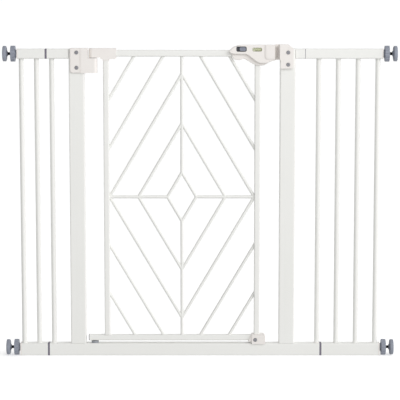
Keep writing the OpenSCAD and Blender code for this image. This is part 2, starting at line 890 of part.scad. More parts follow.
// Lower edges of the cover and of the body, as heights over a distance from the
// handle's left tip: a level grip, an S-shaped drop and a slight rise to the end
function cover_low(u) =
  grip_z - cover_drop * ease((u - 37) / 40) + 6.5 * ease((u - 88) / 24);
function body_low(u) = min(
  cover_low(u + 7) - 6 - 4 * (1 - ease((u - 34) / 30)) + 6 * ease((u - 84) / 24),
  grip_z - 14.5 + 3 * pow(abs(u - 22.5) / 11, 4));

module cover_outline() {
  tip = [0, handle_z1 - 16.5];
  top = bend(tip, [8, handle_z1 - 3], [30, handle_z1], 10);
  grip = bend([16, grip_z], [1, grip_z + 0.5], tip, 6);
  low = [for (u = [handle_l:-3:19]) [u, cover_low(u)]];
  translate([handle_x0, 0])
    polygon(concat(top, [[handle_l, handle_z1]], low, grip));
}

module body_outline() {
  low = [for (u = [handle_l:-3:10]) [u, body_low(u)]];
  translate([handle_x0, 0]) polygon(concat(
    [[3, handle_z1 - 18], [12, handle_z1 - 6.5], [30, body_top_z], [handle_l, body_top_z]], low));
}

slot_x0 = handle_x0 + 17.2;
slot_z = handle_z1 - 10.6;
window_x = handle_x0 + 68.5;
window_z = handle_z1 - 11.8;
cover_face_y = -cover_front + shell;
arm_front = cover_face_y + 1.4;
arm_z0 = handle_z1 - 16;
arm_z1 = handle_z1 - 5.5;
arm_x0 = handle_x0 + 25;
nose_x0 = stile_x1 + lock_travel + slide_gap;
arm_x1 = nose_x0 + 2.5;
nose_x1 = handle_x1 + lock_travel;
nose_z0 = handle_z1 - 33;
nose_z1 = arm_z1;

// Room for the bolt's nose and its travel, behind the cover
module bolt_room() {
  box([nose_x0 - lock_travel - slide_gap, split_y - eps, nose_z0 - slide_gap],
      [handle_x1 - shell, 0.1, nose_z1 + slide_gap]);
  box([nose_x0, -6 - slide_gap, nose_z0 - slide_gap],
      [handle_x1 + 1, 0.1, nose_z1 + slide_gap]);
}

// The door's rail and stile, where the handle closes round them
module door_corner() {
  box([handle_x0 - 1, -door_half, door_top_z0], [stile_x1, door_half, door_top_z1]);
  box([in_x1, -door_half, bottom_rail_h], [stile_x1, door_half, door_top_z1]);
}

module handle_body() {
  color(white_plastic) difference() {
    along_y(split_y, 0) body_outline();
    door_corner();
    bolt_room();
  }
}

module handle_back() {
  color(white_plastic) difference() {
    along_y(0, handle_back_t) body_outline();
    door_corner();
    for (x = back_screw_x) mirror([0, 1, 0]) screw_seat(x, back_screw_z, -handle_back_t);
  }
}

module slide_slot() {
  along_y(-cover_front - 1, split_y) translate([slot_x0 + slot_l / 2, slot_z])
    round_rect(slot_l, slot_h, 4.5);
}

module window_hole() {
  translate([window_x, window_z]) round_rect(window_l, window_h, 3.5);
}

// Raised pad over the bolt's end of the cover, with a rounded lower corner
module end_pad() {
  past = end_pad_corner + 1;
  along_y(-cover_front - end_pad_rise, -cover_front + eps) intersection() {
    cover_outline();
    translate([handle_x1 + (past - end_pad_l) / 2, handle_z1 + (past - end_pad_h) / 2])
      round_rect(end_pad_l + past, end_pad_h + past, end_pad_corner);
  }
}

module handle_cover() {
  color(white_plastic) difference() {
    union() {
      along_y(-cover_front, split_y) cover_outline();
      end_pad();
    }
    along_y(cover_face_y, split_y + 1) offset(delta = -shell) cover_outline();
    slide_slot();
    along_y(-cover_front - 1, cover_face_y + 1) window_hole();
  }
}

module indicator_window() {
  color([0.85, 0.88, 0.7]) along_y(-cover_front + 0.4, cover_face_y) window_hole();
}

button_proud = 2;
button_l = slot_l - lock_travel - 2 * slide_gap;

module slide_button() {
  h = slot_h - 2 * slide_gap;
  x1 = slot_x0 + slot_l - slide_gap;
  color(button_grey) along_y(-cover_front - button_proud, arm_front)
    translate([x1 - button_l / 2, slot_z]) round_rect(button_l, h, 3.8);
}

flag_t = 1;

module lock_bolt() {
  color(white_plastic) {
    box([arm_x0, arm_front, arm_z0], [arm_x1, split_y - slide_gap, arm_z1]);
    box([nose_x0, split_y - slide_gap - eps, arm_z0], [arm_x1, -5, arm_z1]);
    box([nose_x0, -6, nose_z0], [nose_x1, -0.3, nose_z1]);
  }
}

// Coloured strip on the bolt, seen through the window
module indicator_flag() {
  x0 = window_x - window_l / 2 - 2;
  x1 = window_x + window_l / 2 + lock_travel;
  color(flag_green) box([x0, arm_front - flag_t, arm_z0], [x1, arm_front, arm_z1]);
}

// Spring between the cover's grip end and the bolt's arm, drawn at its working
// length; it pushes the bolt out towards the receiver
module lock_spring() {
  x0 = handle_x0 + 10;
  y = (arm_front + split_y) / 2;
  color(bright_steel) translate([x0, y, slot_z - 1.5]) rotate([0, 90, 0])
    coil(1.6, 0.3, 5, arm_x0 - lock_travel - slide_gap - x0);
}

// ---------- latch receiver ----------

receiver_front = tube_front - receiver_t;
receiver_x0 = door_x1 - 2;
receiver_x1 = receiver_x0 + receiver_w;
receiver_z0 = handle_z1 - receiver_h;
receiver_screw_x = door_x1 + 19.3;
receiver_screw_z = [frame_h - 10, frame_h - 39.3];
receiver_back = tube_d / 2 + 3.5;
wing_x0 = handle_x1 + 1;

module receiver_screw_holes() {
  for (z = receiver_screw_z) rod_y(receiver_screw_x, z, screw_r, receiver_front - 1, 0);
}

module receiver_outline() {
  chamfer = [11.5, 9];
  polygon([
    [receiver_x0, receiver_z0], [door_x1 + 1, receiver_z0],
    [door_x1 + 1, receiver_z0 - receiver_tab_h], [receiver_x1 - 4, receiver_z0 - receiver_tab_h],
    [receiver_x1, receiver_z0 - receiver_tab_h + 4], [receiver_x1, handle_z1 - chamfer[1] - 3],
    [receiver_x1 - 2.2, handle_z1 - chamfer[1]], [receiver_x1 - chamfer[0], handle_z1],
    [receiver_x0, handle_z1]
  ]);
}

module latch_receiver() {
  color(white_plastic) difference() {
    union() {
      along_y(receiver_front, receiver_back) receiver_outline();
      box([wing_x0, 0.2, receiver_z0], [receiver_x0 + eps, 9, handle_z1]);
    }
    box([door_x1, tube_front, 0], [right_post_out + 1, tube_d / 2, steel_top]);
    for (z = receiver_screw_z) screw_seat(receiver_screw_x, z, receiver_front);
  }
}

left_post();
right_post();
bottom_rail();
left_top_stub();
right_top_stub();
frame_bar();
left_extension_top_rail();
left_extension_bottom_rail();
left_extension_bars();
right_extension_top_rail();
right_extension_bottom_rail();
right_extension_bars();
bar_foot_plug();
top_joint_plugs();
bottom_joint_plugs();
top_end_plugs();
bottom_end_plugs();
hinge_bracket();
hinge_knuckle();
bracket_screws();
hinge_bushes();
hinge_spring();
latch_receiver();
spindle_left_top();
spindle_left_bottom();
spindle_right_top();
spindle_right_bottom();
wall_pad_left_top();
wall_pad_left_bottom();
wall_pad_right_top();
wall_pad_right_bottom();
knob_left_top();
knob_left_bottom();
knob_right_top();
knob_right_bottom();
upper_hinge_pin();
lower_hinge_pin();
hinge_stile();
latch_stile();
door_top_rail();
door_bottom_rail();
centre_rods();
side_rods();
small_diamond();
middle_diamond_rods();
large_diamond_rods();
corner_rods();
hinge_corner_cap();
door_rail_plug();
handle_body();
handle_back();
handle_cover();
indicator_window();
bottom_latch();
door_screws();
slide_button();
lock_bolt();
indicator_flag();
lock_spring();
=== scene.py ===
"""Looks of the pressure-fit safety gate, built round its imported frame.

Lengths are in metres; mm turns a millimetre figure into metres. The front of the
gate faces -Y and +Z is up.
"""

import math

import bpy
from mathutils import Matrix, Vector


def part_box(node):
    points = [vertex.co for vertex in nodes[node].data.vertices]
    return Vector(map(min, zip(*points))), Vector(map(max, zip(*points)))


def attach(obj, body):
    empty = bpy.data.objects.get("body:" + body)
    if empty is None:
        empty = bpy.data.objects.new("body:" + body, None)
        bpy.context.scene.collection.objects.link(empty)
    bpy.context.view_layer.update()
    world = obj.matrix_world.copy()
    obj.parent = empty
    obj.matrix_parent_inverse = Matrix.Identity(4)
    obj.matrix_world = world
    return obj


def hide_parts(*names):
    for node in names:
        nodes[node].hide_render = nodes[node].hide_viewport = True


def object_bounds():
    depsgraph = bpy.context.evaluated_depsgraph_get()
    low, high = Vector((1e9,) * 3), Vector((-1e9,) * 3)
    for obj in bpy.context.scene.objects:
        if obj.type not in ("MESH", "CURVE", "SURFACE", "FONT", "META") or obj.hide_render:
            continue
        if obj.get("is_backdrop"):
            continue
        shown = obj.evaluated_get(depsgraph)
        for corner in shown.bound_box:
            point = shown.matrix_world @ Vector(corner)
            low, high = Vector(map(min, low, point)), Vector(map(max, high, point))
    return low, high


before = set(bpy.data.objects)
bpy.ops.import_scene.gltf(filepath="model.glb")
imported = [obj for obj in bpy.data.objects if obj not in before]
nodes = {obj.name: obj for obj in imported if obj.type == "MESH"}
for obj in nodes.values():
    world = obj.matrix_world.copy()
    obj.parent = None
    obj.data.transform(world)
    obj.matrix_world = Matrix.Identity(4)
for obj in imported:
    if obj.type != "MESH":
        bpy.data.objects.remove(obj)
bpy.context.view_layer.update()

# ---------------------------------------------------------------------------
# Welded tube frame: two posts, the floor rail, the top stubs, the extension
# rails and all the round bars. Mild-steel tube with a white polyester powder
# coat, baked on after welding. The frame's own shapes are right and stay.
# ---------------------------------------------------------------------------
mm = 0.001
bpy.context.scene.view_settings.view_transform = "Standard"


def shade(code):
    """An sRGB hex colour as the linear RGBA that a shader socket takes."""
    parts = [int(code[i : i + 2], 16) / 255 for i in (0, 2, 4)]
    return [p / 12.92 if p <= 0.04045 else ((p + 0.055) / 1.055) ** 2.4 for p in parts] + [1]


def add(tree, kind, settings, links=None):
    """Adds one shader node, sets its properties and inputs, and links what feeds it."""
    node = tree.nodes.new(kind)
    for key, value in settings.items():
        if str(key) in node.bl_rna.properties:
            setattr(node, key, value)
        else:
            node.inputs[key].default_value = value
    for key, source in (links or {}).items():
        tree.links.new(source, node.inputs[key])
    return node


def new_surface(name):
    """A new material with its tree, its shader and the piece's own coordinates."""
    surface = bpy.data.materials.new(name)
    surface.use_nodes = True
    tree = surface.node_tree
    skin = tree.nodes["Principled BSDF"]
    return surface, tree, skin, add(tree, "ShaderNodeTexCoord", {}).outputs["Object"]


def powder_coat():
    """Polyester powder coat: satin white with the soft orange peel of a baked film."""
    peel_mm = 2.6  # real peel is 1 to 2 mm; drawn a little coarser so that it shows
    cloud_mm = 140
    surface, tree, skin, place = new_surface("white powder coat on steel")
    cloud = add(tree, "ShaderNodeTexNoise", {"Scale": 1000 / cloud_mm, "Detail": 2}, {"Vector": place})
    tone = add(tree, "ShaderNodeMix", {"data_type": "RGBA", 6: shade("EDEDE9"), 7: shade("F1F1EE")},
               {0: cloud.outputs["Fac"]})
    peel = add(tree, "ShaderNodeTexNoise", {"Scale": 1000 / peel_mm, "Detail": 1.5}, {"Vector": place})
    gloss = add(tree, "ShaderNodeMapRange", {"To Min": 0.30, "To Max": 0.42}, {"Value": peel.outputs["Fac"]})
    relief = add(tree, "ShaderNodeBump", {"Strength": 0.35, "Distance": 0.06 * mm},
                 {"Height": peel.outputs["Fac"]})
    tree.links.new(tone.outputs[2], skin.inputs["Base Color"])
    tree.links.new(gloss.outputs["Result"], skin.inputs["Roughness"])
    tree.links.new(relief.outputs["Normal"], skin.inputs["Normal"])
    return surface


coated_nodes = [
    "left_post", "right_post", "bottom_rail", "left_top_stub", "right_top_stub", "frame_bar",
    "left_extension_top_rail", "left_extension_bottom_rail", "left_extension_bars",
    "right_extension_top_rail", "right_extension_bottom_rail", "right_extension_bars",
    "hinge_stile", "latch_stile", "door_top_rail", "door_bottom_rail", "centre_rods", "side_rods",
    "small_diamond", "middle_diamond_rods", "large_diamond_rods", "corner_rods",
]
coat = powder_coat()


def finish_node(node, surface):
    """Gives a CAD node that stays its finished material."""
    nodes[node].data.materials.clear()
    nodes[node].data.materials.append(surface)


for name in coated_nodes:
    finish_node(name, coat)

# ---------------------------------------------------------------------------
# Weld collars round the bars: each upright bar is MIG welded to the rails at
# both ends, and the coat runs over the bead. Only the inner right bar has none
# at its foot, because it stands there on a plastic plug.
# ---------------------------------------------------------------------------
bar_r = 6 * mm


def deselect():
    if bpy.context.object and bpy.context.object.mode != "OBJECT":
        bpy.ops.object.mode_set(mode="OBJECT")
    bpy.ops.object.select_all(action="DESELECT")


def hold(piece):
    """Makes a piece the only selected one, and the active one."""
    deselect()
    piece.select_set(True)
    bpy.context.view_layer.objects.active = piece
    return piece


def settle(name):
    """Names the active piece and puts its place, turn and scale into its mesh."""
    piece = hold(bpy.context.object)
    piece.name = piece.data.name = name
    bpy.ops.object.transform_apply(location=True, rotation=True, scale=True)
    return piece


def finish_with(piece, kind, **settings):
    """Adds a modifier to a piece and applies it."""
    hold(piece)
    modifier = piece.modifiers.new(kind.title(), kind)
    for key, value in settings.items():
        setattr(modifier, key, value)
    bpy.ops.object.modifier_apply(modifier=modifier.name)
    return piece


def smooth(piece, angle=40):
    hold(piece)
    bpy.ops.object.shade_smooth_by_angle(angle=math.radians(angle))
    return piece


def join(pieces, name):
    """Joins pieces into one mesh object."""
    hold(pieces[0])
    for piece in pieces[1:]:
        piece.select_set(True)
    if len(pieces) > 1:
        bpy.ops.object.join()
    pieces[0].name = pieces[0].data.name = name
    return pieces[0]


def place_copy(piece, matrix, name="copy"):
    """A copy of a piece with its own mesh, moved by a matrix that ends up in that mesh."""
    other = piece.copy()
    other.data = piece.data.copy()
    bpy.context.scene.collection.objects.link(other)
    other.matrix_world = matrix
    bpy.context.view_layer.objects.active = other
    return settle(name)


def spots(node, axes, gap):
    """Lowest and highest corners of a node's separate solids, told apart by gaps along axes."""
    groups = []
    for vertex in nodes[node].data.vertices:
        low, high = vertex.co.copy(), vertex.co.copy()
        for group in list(groups):
            if all(group[0][a] - gap < vertex.co[a] < group[1][a] + gap for a in axes):
                low, high = Vector(map(min, low, group[0])), Vector(map(max, high, group[1]))
                groups.remove(group)
        groups.append([low, high])
    return groups


def surface_on(piece, *surfaces):
    piece.data.materials.clear()
    for surface in surfaces:
        piece.data.materials.append(surface)
    return piece


def lumpy(piece, squash, lump_size):
    """Squashes a piece of weld and gives it the lumps of a hand-run bead."""
    bpy.ops.object.mode_set(mode="EDIT")
    bpy.ops.mesh.select_all(action="SELECT")
    bpy.ops.transform.resize(value=squash)
    bpy.ops.object.mode_set(mode="OBJECT")
    lumps = bpy.data.textures.new("weld_lumps", "CLOUDS")
    lumps.noise_scale = lump_size
    return finish_with(piece, "DISPLACE", texture=lumps, strength=0.5 * mm, mid_level=0.5)


def weld_collar(radius, bead):
    """One ring of weld round a bar."""
    deselect()
    bpy.ops.mesh.primitive_torus_add(major_radius=radius, minor_radius=bead, major_segments=40,
                                     minor_segments=10)
    return lumpy(settle("weld_collar"), (1, 1, 1.3), 2.2 * mm)


collar = weld_collar(bar_r, 1.0 * mm)
collars = []
for node in ("left_extension_bars", "frame_bar", "right_extension_bars"):
    for low, high in spots(node, (0,), 4 * mm):
        axis_x = (low.x + high.x) / 2
        on_plug = low.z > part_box("frame_bar")[0].z + 0.5 * mm
        for z in ([high.z] if on_plug else [low.z, high.z]):
            collars.append(place_copy(collar, Matrix.Translation((axis_x, 0, z))))
bar_welds = smooth(join(collars, "bar_welds"), 60)
bpy.data.objects.remove(collar)
surface_on(bar_welds, coat)
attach(bar_welds, "frame")

# ---------------------------------------------------------------------------
# Tube plugs: dark nylon joint plugs that link the extension rails to the frame,
# and white nylon plugs that close the rail ends and guide the spindles. Pushed
# in dry. Their own shapes are right and stay.
# ---------------------------------------------------------------------------


def moulded(name, low_tone, high_tone, grain_mm, gloss_low, gloss_high, relief_mm=0.03):
    """Moulded plastic: a fine spark-eroded grain and a faint drift in tone."""
    surface, tree, skin, place = new_surface(name)
    drift = add(tree, "ShaderNodeTexNoise", {"Scale": 1000 / 35, "Detail": 3}, {"Vector": place})
    tone = add(tree, "ShaderNodeMix", {"data_type": "RGBA", 6: shade(low_tone), 7: shade(high_tone)},
               {0: drift.outputs["Fac"]})
    grain = add(tree, "ShaderNodeTexNoise", {"Scale": 1000 / grain_mm, "Detail": 2}, {"Vector": place})
    gloss = add(tree, "ShaderNodeMapRange", {"To Min": gloss_low, "To Max": gloss_high},
                {"Value": grain.outputs["Fac"]})
    relief = add(tree, "ShaderNodeBump", {"Strength": 0.4, "Distance": relief_mm * mm},
                 {"Height": grain.outputs["Fac"]})
    tree.links.new(tone.outputs[2], skin.inputs["Base Color"])
    tree.links.new(gloss.outputs["Result"], skin.inputs["Roughness"])
    tree.links.new(relief.outputs["Normal"], skin.inputs["Normal"])
    return surface


# ABS, moulded in a warm white with a satin skin: soft broad highlights
white_abs = moulded("warm white moulded ABS", "ECE7E3", "F1EDE9", 1.1, 0.32, 0.46)
# Glass-filled nylon in a purple grey, matt: hardly any highlight
joint_nylon = moulded("purple grey nylon", "6B6674", "777280", 0.9, 0.5, 0.65)

for name in ("top_joint_plugs", "bottom_joint_plugs", "door_rail_plug"):
    finish_node(name, joint_nylon)
for name in ("top_end_plugs", "bottom_end_plugs", "bar_foot_plug"):
    finish_node(name, white_abs)

# ---------------------------------------------------------------------------
# Adjusting knobs: one at each corner, turned by hand to run its spindle out.
# Blue-grey polypropylene with twelve finger lobes and a hub that bears on the
# rail's end plug. Modelled once on the upper right axis and copied.
# ---------------------------------------------------------------------------
corners = ("left_top", "left_bottom", "right_top", "right_bottom")
knob_low, knob_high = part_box("knob_right_top")
knob_r = 19.5 * mm
knob_hub_l = 2.5 * mm
knob_lobes = 12
axis_z = (knob_low.z + knob_high.z) / 2
along_x = (0, math.pi / 2, 0)
# Polypropylene, matt blue grey, with a slightly waxy sheen
grey_pp = moulded("blue grey polypropylene", "868B98", "969BA7", 1.2, 0.42, 0.58)


def disc(name, x0, x1, radius, sides=96):
    """A cylinder along X between two places, on the upper right spindle's axis."""
    deselect()
    bpy.ops.mesh.primitive_cylinder_add(vertices=sides, radius=radius, depth=x1 - x0,
                                        location=((x0 + x1) / 2, 0, axis_z), rotation=along_x)
    return settle(name)


def pick(piece, kind, test):
    """Selects the VERT, EDGE or FACE parts whose middle passes a test, and stays in edit mode."""
    hold(piece)
    bpy.ops.object.mode_set(mode="EDIT")
    bpy.ops.mesh.select_mode(type=kind)
    bpy.ops.mesh.select_all(action="DESELECT")
    bpy.ops.object.mode_set(mode="OBJECT")
    points = piece.data.vertices
    if kind == "VERT":
        for point in points:
            point.select = test(point.co)
    elif kind == "EDGE":
        for edge in piece.data.edges:
            edge.select = test((points[edge.vertices[0]].co + points[edge.vertices[1]].co) / 2)
    else:
        for face in piece.data.polygons:
            face.select = test(face.center)
    bpy.ops.object.mode_set(mode="EDIT")


def near(a, b):
    return abs(a - b) < 0.01 * mm


def cut(piece, *cutters, operation="DIFFERENCE"):
    """Cuts each cutter out of a piece, or joins it on, and removes it."""
    for cutter in cutters:
        finish_with(piece, "BOOLEAN", object=cutter, operation=operation, solver="EXACT")
        bpy.data.objects.remove(cutter)
    return piece


def soften(piece, width, segments=3, angle=35):
    """Rounds every edge sharper than an angle, as a mould's edges are."""
    finish_with(piece, "BEVEL", width=width, segments=segments, limit_method="ANGLE",
                angle_limit=math.radians(angle), miter_outer="MITER_ARC")
    smooth(piece)
    return finish_with(piece, "WEIGHTED_NORMAL", keep_sharp=True)


def make_knob():
    body = disc("knob", knob_low.x + knob_hub_l, knob_high.x, knob_r)
    flute_r = math.pi * knob_r / knob_lobes / 2
    for k in range(knob_lobes):
        turn = 2 * math.pi * k / knob_lobes
        deselect()
        bpy.ops.mesh.primitive_cylinder_add(
            vertices=24, radius=flute_r, depth=30 * mm, rotation=along_x,
            location=(knob_high.x, (knob_r + 0.55 * flute_r) * math.sin(turn),
                      axis_z + (knob_r + 0.55 * flute_r) * math.cos(turn)))
        cut(body, settle("flute"))
    # Dished outer face with a raised ring round the spindle
    cut(body, disc("dish", knob_high.x - 1.4 * mm, knob_high.x + mm, 15 * mm))
    cut(body, disc("hub", knob_low.x, knob_low.x + knob_hub_l + 0.5 * mm, 10 * mm), operation="UNION")
    cut(body, disc("ring", knob_high.x - 3 * mm, knob_high.x - 0.4 * mm, 7.5 * mm), operation="UNION")
    cut(body, disc("bore", knob_low.x - mm, knob_high.x + mm, 4.3 * mm, 48))
    return soften(body, 0.9 * mm, 3)


knob = make_knob()
surface_on(knob, grey_pp)


def at_corner(corner):
    """The matrix that takes the upper right corner's pieces to a corner."""
    low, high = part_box("knob_" + corner)
    drop = Matrix.Translation((0, 0, (low.z + high.z) / 2 - axis_z))
    return drop @ Matrix.Rotation(math.pi if high.x < 0 else 0, 4, "Z")


for corner in corners:
    turned = place_copy(knob, at_corner(corner), "grip_knob_" + corner)
    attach(turned, "knob_" + corner)
    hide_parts("knob_" + corner)
bpy.data.objects.remove(knob)

# ---------------------------------------------------------------------------
# Wall pads: a round polypropylene cup pressed on each spindle, with a rubbery
# ribbed face that grips the wall. The face is a softer, darker compound moulded
# into the cup.
# ---------------------------------------------------------------------------
pad_low, pad_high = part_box("wall_pad_right_top")
pad_r = 19 * mm
pad_hub_l = 2.5 * mm
# Thermoplastic rubber: matt, dark, with a dusty skin
rubber = moulded("dark thermoplastic rubber", "4A4D55", "565962", 0.8, 0.62, 0.8)


def make_pad():
    body = disc("pad", pad_low.x + pad_hub_l, pad_high.x, pad_r)
    pick(body, "EDGE", lambda c: (c - Vector((c.x, 0, axis_z))).length > pad_r * 0.99
         and near(c.x, pad_low.x + pad_hub_l))
    bpy.ops.mesh.bevel(offset=3.2 * mm, segments=6)
    bpy.ops.object.mode_set(mode="OBJECT")
    pick(body, "EDGE", lambda c: (c - Vector((c.x, 0, axis_z))).length > pad_r * 0.99
         and near(c.x, pad_high.x))
    bpy.ops.mesh.bevel(offset=2.2 * mm, segments=5)
    bpy.ops.object.mode_set(mode="OBJECT")
    pick(body, "FACE", lambda c: near(c.x, pad_high.x))
    bpy.ops.mesh.inset(thickness=1.2 * mm)
    for ring in range(3):
        bpy.ops.mesh.inset(thickness=0.4 * mm, depth=-0.7 * mm)
        bpy.ops.mesh.inset(thickness=0.9 * mm)
        bpy.ops.mesh.inset(thickness=0.4 * mm, depth=0.7 * mm)
        bpy.ops.mesh.inset(thickness=1.9 * mm)
    bpy.ops.object.mode_set(mode="OBJECT")
    surface_on(body, grey_pp, rubber)
    for face in body.data.polygons:
        radius = math.hypot(face.center.y, face.center.z - axis_z)
        face.material_index = int(face.center.x > pad_high.x - 1.2 * mm and radius < pad_r - 3 * mm)
    hub = disc("hub", pad_low.x, pad_low.x + pad_hub_l + 0.5 * mm, 7 * mm, 48)
    surface_on(hub, grey_pp)
    pick(hub, "EDGE", lambda c: near(c.x, pad_low.x))
    bpy.ops.mesh.bevel(offset=1 * mm, segments=3)
    bpy.ops.object.mode_set(mode="OBJECT")
    return smooth(cut(body, hub, operation="UNION"), 30)


pad = make_pad()
for corner in corners:
    cup = place_copy(pad, at_corner(corner), "wall_cup_" + corner)
    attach(cup, "pad_" + corner)
    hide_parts("wall_pad_" + corner)
bpy.data.objects.remove(pad)

# ---------------------------------------------------------------------------
# Spindles: M8 threaded rod, cold rolled, black zinc plated. The thread is a
# real helix of 1.25 mm pitch, wound up by a screw modifier and cut to length.
# ---------------------------------------------------------------------------
rod_low, rod_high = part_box("spindle_right_top")
thread_pitch = 1.25 * mm
thread_depth = 0.65 * mm


def plated(name, low_tone, high_tone, metallic, cloud_mm, detail, gloss_low, gloss_high):
    """Plated steel: one noise clouds its tone and its gloss together."""
    surface, tree, skin, place = new_surface(name)
    skin.inputs["Metallic"].default_value = metallic
    cloud = add(tree, "ShaderNodeTexNoise", {"Scale": 1000 / cloud_mm, "Detail": detail}, {"Vector": place})
    tone = add(tree, "ShaderNodeMix", {"data_type": "RGBA", 6: shade(low_tone), 7: shade(high_tone)},
               {0: cloud.outputs["Fac"]})
    gloss = add(tree, "ShaderNodeMapRange", {"To Min": gloss_low, "To Max": gloss_high},
                {"Value": cloud.outputs["Fac"]})
    tree.links.new(tone.outputs[2], skin.inputs["Base Color"])
    tree.links.new(gloss.outputs["Result"], skin.inputs["Roughness"])
    return surface


def make_spindle():
    """Draws one pitch of the thread's outline from a single point, then winds it up about Z."""
    crest = (rod_high.z - rod_low.z) / 2
    root = crest - thread_depth
    length = rod_high.x - rod_low.x
    turns = int(length / thread_pitch) + 3
    deselect()
    bpy.ops.mesh.primitive_plane_add(size=mm)
    bpy.ops.object.mode_set(mode="EDIT")
    bpy.ops.mesh.merge(type="CENTER")
    bpy.ops.mesh.select_mode(type="VERT")
    bpy.ops.mesh.select_all(action="SELECT")
    bpy.ops.transform.translate(value=(root, 0, 0))
    for dx, dz in ((thread_depth, 0.42), (0, 0.12), (-thread_depth, 0.42), (0, 0.04)):
        bpy.ops.mesh.extrude_region_move(
            TRANSFORM_OT_translate={"value": (dx, 0, dz * thread_pitch)})
    bpy.ops.object.mode_set(mode="OBJECT")
    rod = settle("spindle")
    finish_with(rod, "SCREW", axis="Z", angle=2 * math.pi, steps=24, render_steps=24,
                screw_offset=thread_pitch, iterations=turns, use_merge_vertices=True,
                merge_threshold=0.01 * mm, use_normal_calculate=True)
    bpy.ops.object.mode_set(mode="EDIT")
    for height, side in ((1.5 * thread_pitch, -1), (1.5 * thread_pitch + length, 1)):
        bpy.ops.mesh.select_all(action="SELECT")
        bpy.ops.mesh.bisect(plane_co=(0, 0, height), plane_no=(0, 0, side), use_fill=True,
                            clear_outer=True)
    bpy.ops.mesh.select_all(action="SELECT")
    bpy.ops.mesh.normals_make_consistent(inside=False)
    bpy.ops.object.mode_set(mode="OBJECT")
    rod.matrix_world = (Matrix.Translation((rod_low.x, 0, axis_z)) @ Matrix.Rotation(math.pi / 2, 4, "Y")
                        @ Matrix.Translation((0, 0, -1.5 * thread_pitch)))
    return smooth(settle("spindle"), 30)


# Black zinc on rolled steel: dark and half-shiny, with small drawing marks
black_zinc = plated("black zinc plated steel", "0C0E12", "1B1D22", 0.3, 1.5, 4, 0.32, 0.5)
spindle = surface_on(make_spindle(), black_zinc)
for corner in corners:
    rod = place_copy(spindle, at_corner(corner), "threaded_rod_" + corner)
    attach(rod, "pad_" + corner)
    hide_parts("spindle_" + corner)
bpy.data.objects.remove(spindle)

# ---------------------------------------------------------------------------
# Hinge bracket: a moulded ABS clip that wraps the left post's head, with a
# rounded lower corner and two screw seats. Screwed through into the post.
# ---------------------------------------------------------------------------
post_low, post_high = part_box("left_post")
clip_low, clip_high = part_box("hinge_bracket")


def block(name, low, high):
    """A cube stretched between two corners, ready for shaping."""
    deselect()
    bpy.ops.mesh.primitive_cube_add(size=1, location=(Vector(low) + Vector(high)) / 2)
    bpy.context.object.scale = Vector(high) - Vector(low)
    return settle(name)


def rod_y(name, x, z, radius, y0, y1, sides=48):
    """A cylinder along Y between two depths."""
    deselect()
    bpy.ops.mesh.primitive_cylinder_add(vertices=sides, radius=radius, depth=y1 - y0,
                                        location=(x, (y0 + y1) / 2, z), rotation=(math.pi / 2, 0, 0))
    return settle(name)


def round_corner(piece, test, radius, segments=8):
    """Rounds the edges whose middle passes a test."""
    pick(piece, "EDGE", test)
    bpy.ops.mesh.bevel(offset=radius, segments=segments)
    bpy.ops.object.mode_set(mode="OBJECT")


seam_w = 1.3 * mm
seam_depth = 1.8 * mm
screw_head_r = 4.6 * mm
screw_sink = 1.6 * mm


def screw_seats(piece, node, face_y, wanted):
    """Sinks seats into a piece's face at depth face_y, for those of a node's screws that are wanted."""
    inward = 1 if face_y < 0 else -1
    y0, y1 = sorted((face_y - inward * mm, face_y + inward * screw_sink))
    for low, high in spots(node, (0, 2), 2 * mm):
        if wanted(low, high):
            cut(piece, rod_y("seat", (low.x + high.x) / 2, (low.z + high.z) / 2,
                             screw_head_r + 0.5 * mm, y0, y1))


def make_bracket():
    clip = block("bracket", clip_low, clip_high)
    round_corner(clip, lambda c: near(c.x, clip_low.x) and near(c.z, clip_low.z), 7 * mm, 10)
    round_corner(clip, lambda c: near(c.y, clip_low.y) and c.x < clip_high.x - mm and c.z < clip_high.z - mm,
                 2.4 * mm, 5)
    cut(clip, block("post_room", post_low, post_high))
    cut(clip, block("seam", (clip_high.x - seam_w / 2, clip_low.y - mm, clip_low.z - mm),
                    (clip_high.x + mm, clip_low.y + seam_depth, clip_high.z + mm)))
    screw_seats(clip, "bracket_screws", clip_low.y, lambda low, high: low.x < 0)
    return soften(clip, 0.7 * mm)


bracket = surface_on(make_bracket(), white_abs)
bracket.name = "hinge_post_clip"
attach(bracket, "frame")
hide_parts("hinge_bracket")

# ---------------------------------------------------------------------------
# Hinge knuckle: the inner half of the clip, with a cheek beside the post and a
# flush boss that carries the upper pin. ABS, moulded in one, bored for the bush.
# ---------------------------------------------------------------------------
boss_low, boss_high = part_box("hinge_knuckle")
pin_low, pin_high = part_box("upper_hinge_pin")
hinge_x = (pin_low.x + pin_high.x) / 2
boss_r = boss_high.x - hinge_x
bush_r = 6.05 * mm
cheek_w = 8 * mm
spring_room_r = 9.3 * mm
cap_collar_h = 3.2 * mm
cap_step = 3.5 * mm
cap_gap = 1.1 * mm
boss_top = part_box("hinge_corner_cap")[0].z + cap_collar_h + cap_step - cap_gap


def rod_z(name, x, radius, z0, z1, sides=96):
    """A cylinder along Z in the door's plane."""
    deselect()
    bpy.ops.mesh.primitive_cylinder_add(vertices=sides, radius=radius, depth=z1 - z0,
                                        location=(x, 0, (z0 + z1) / 2))
    return settle(name)


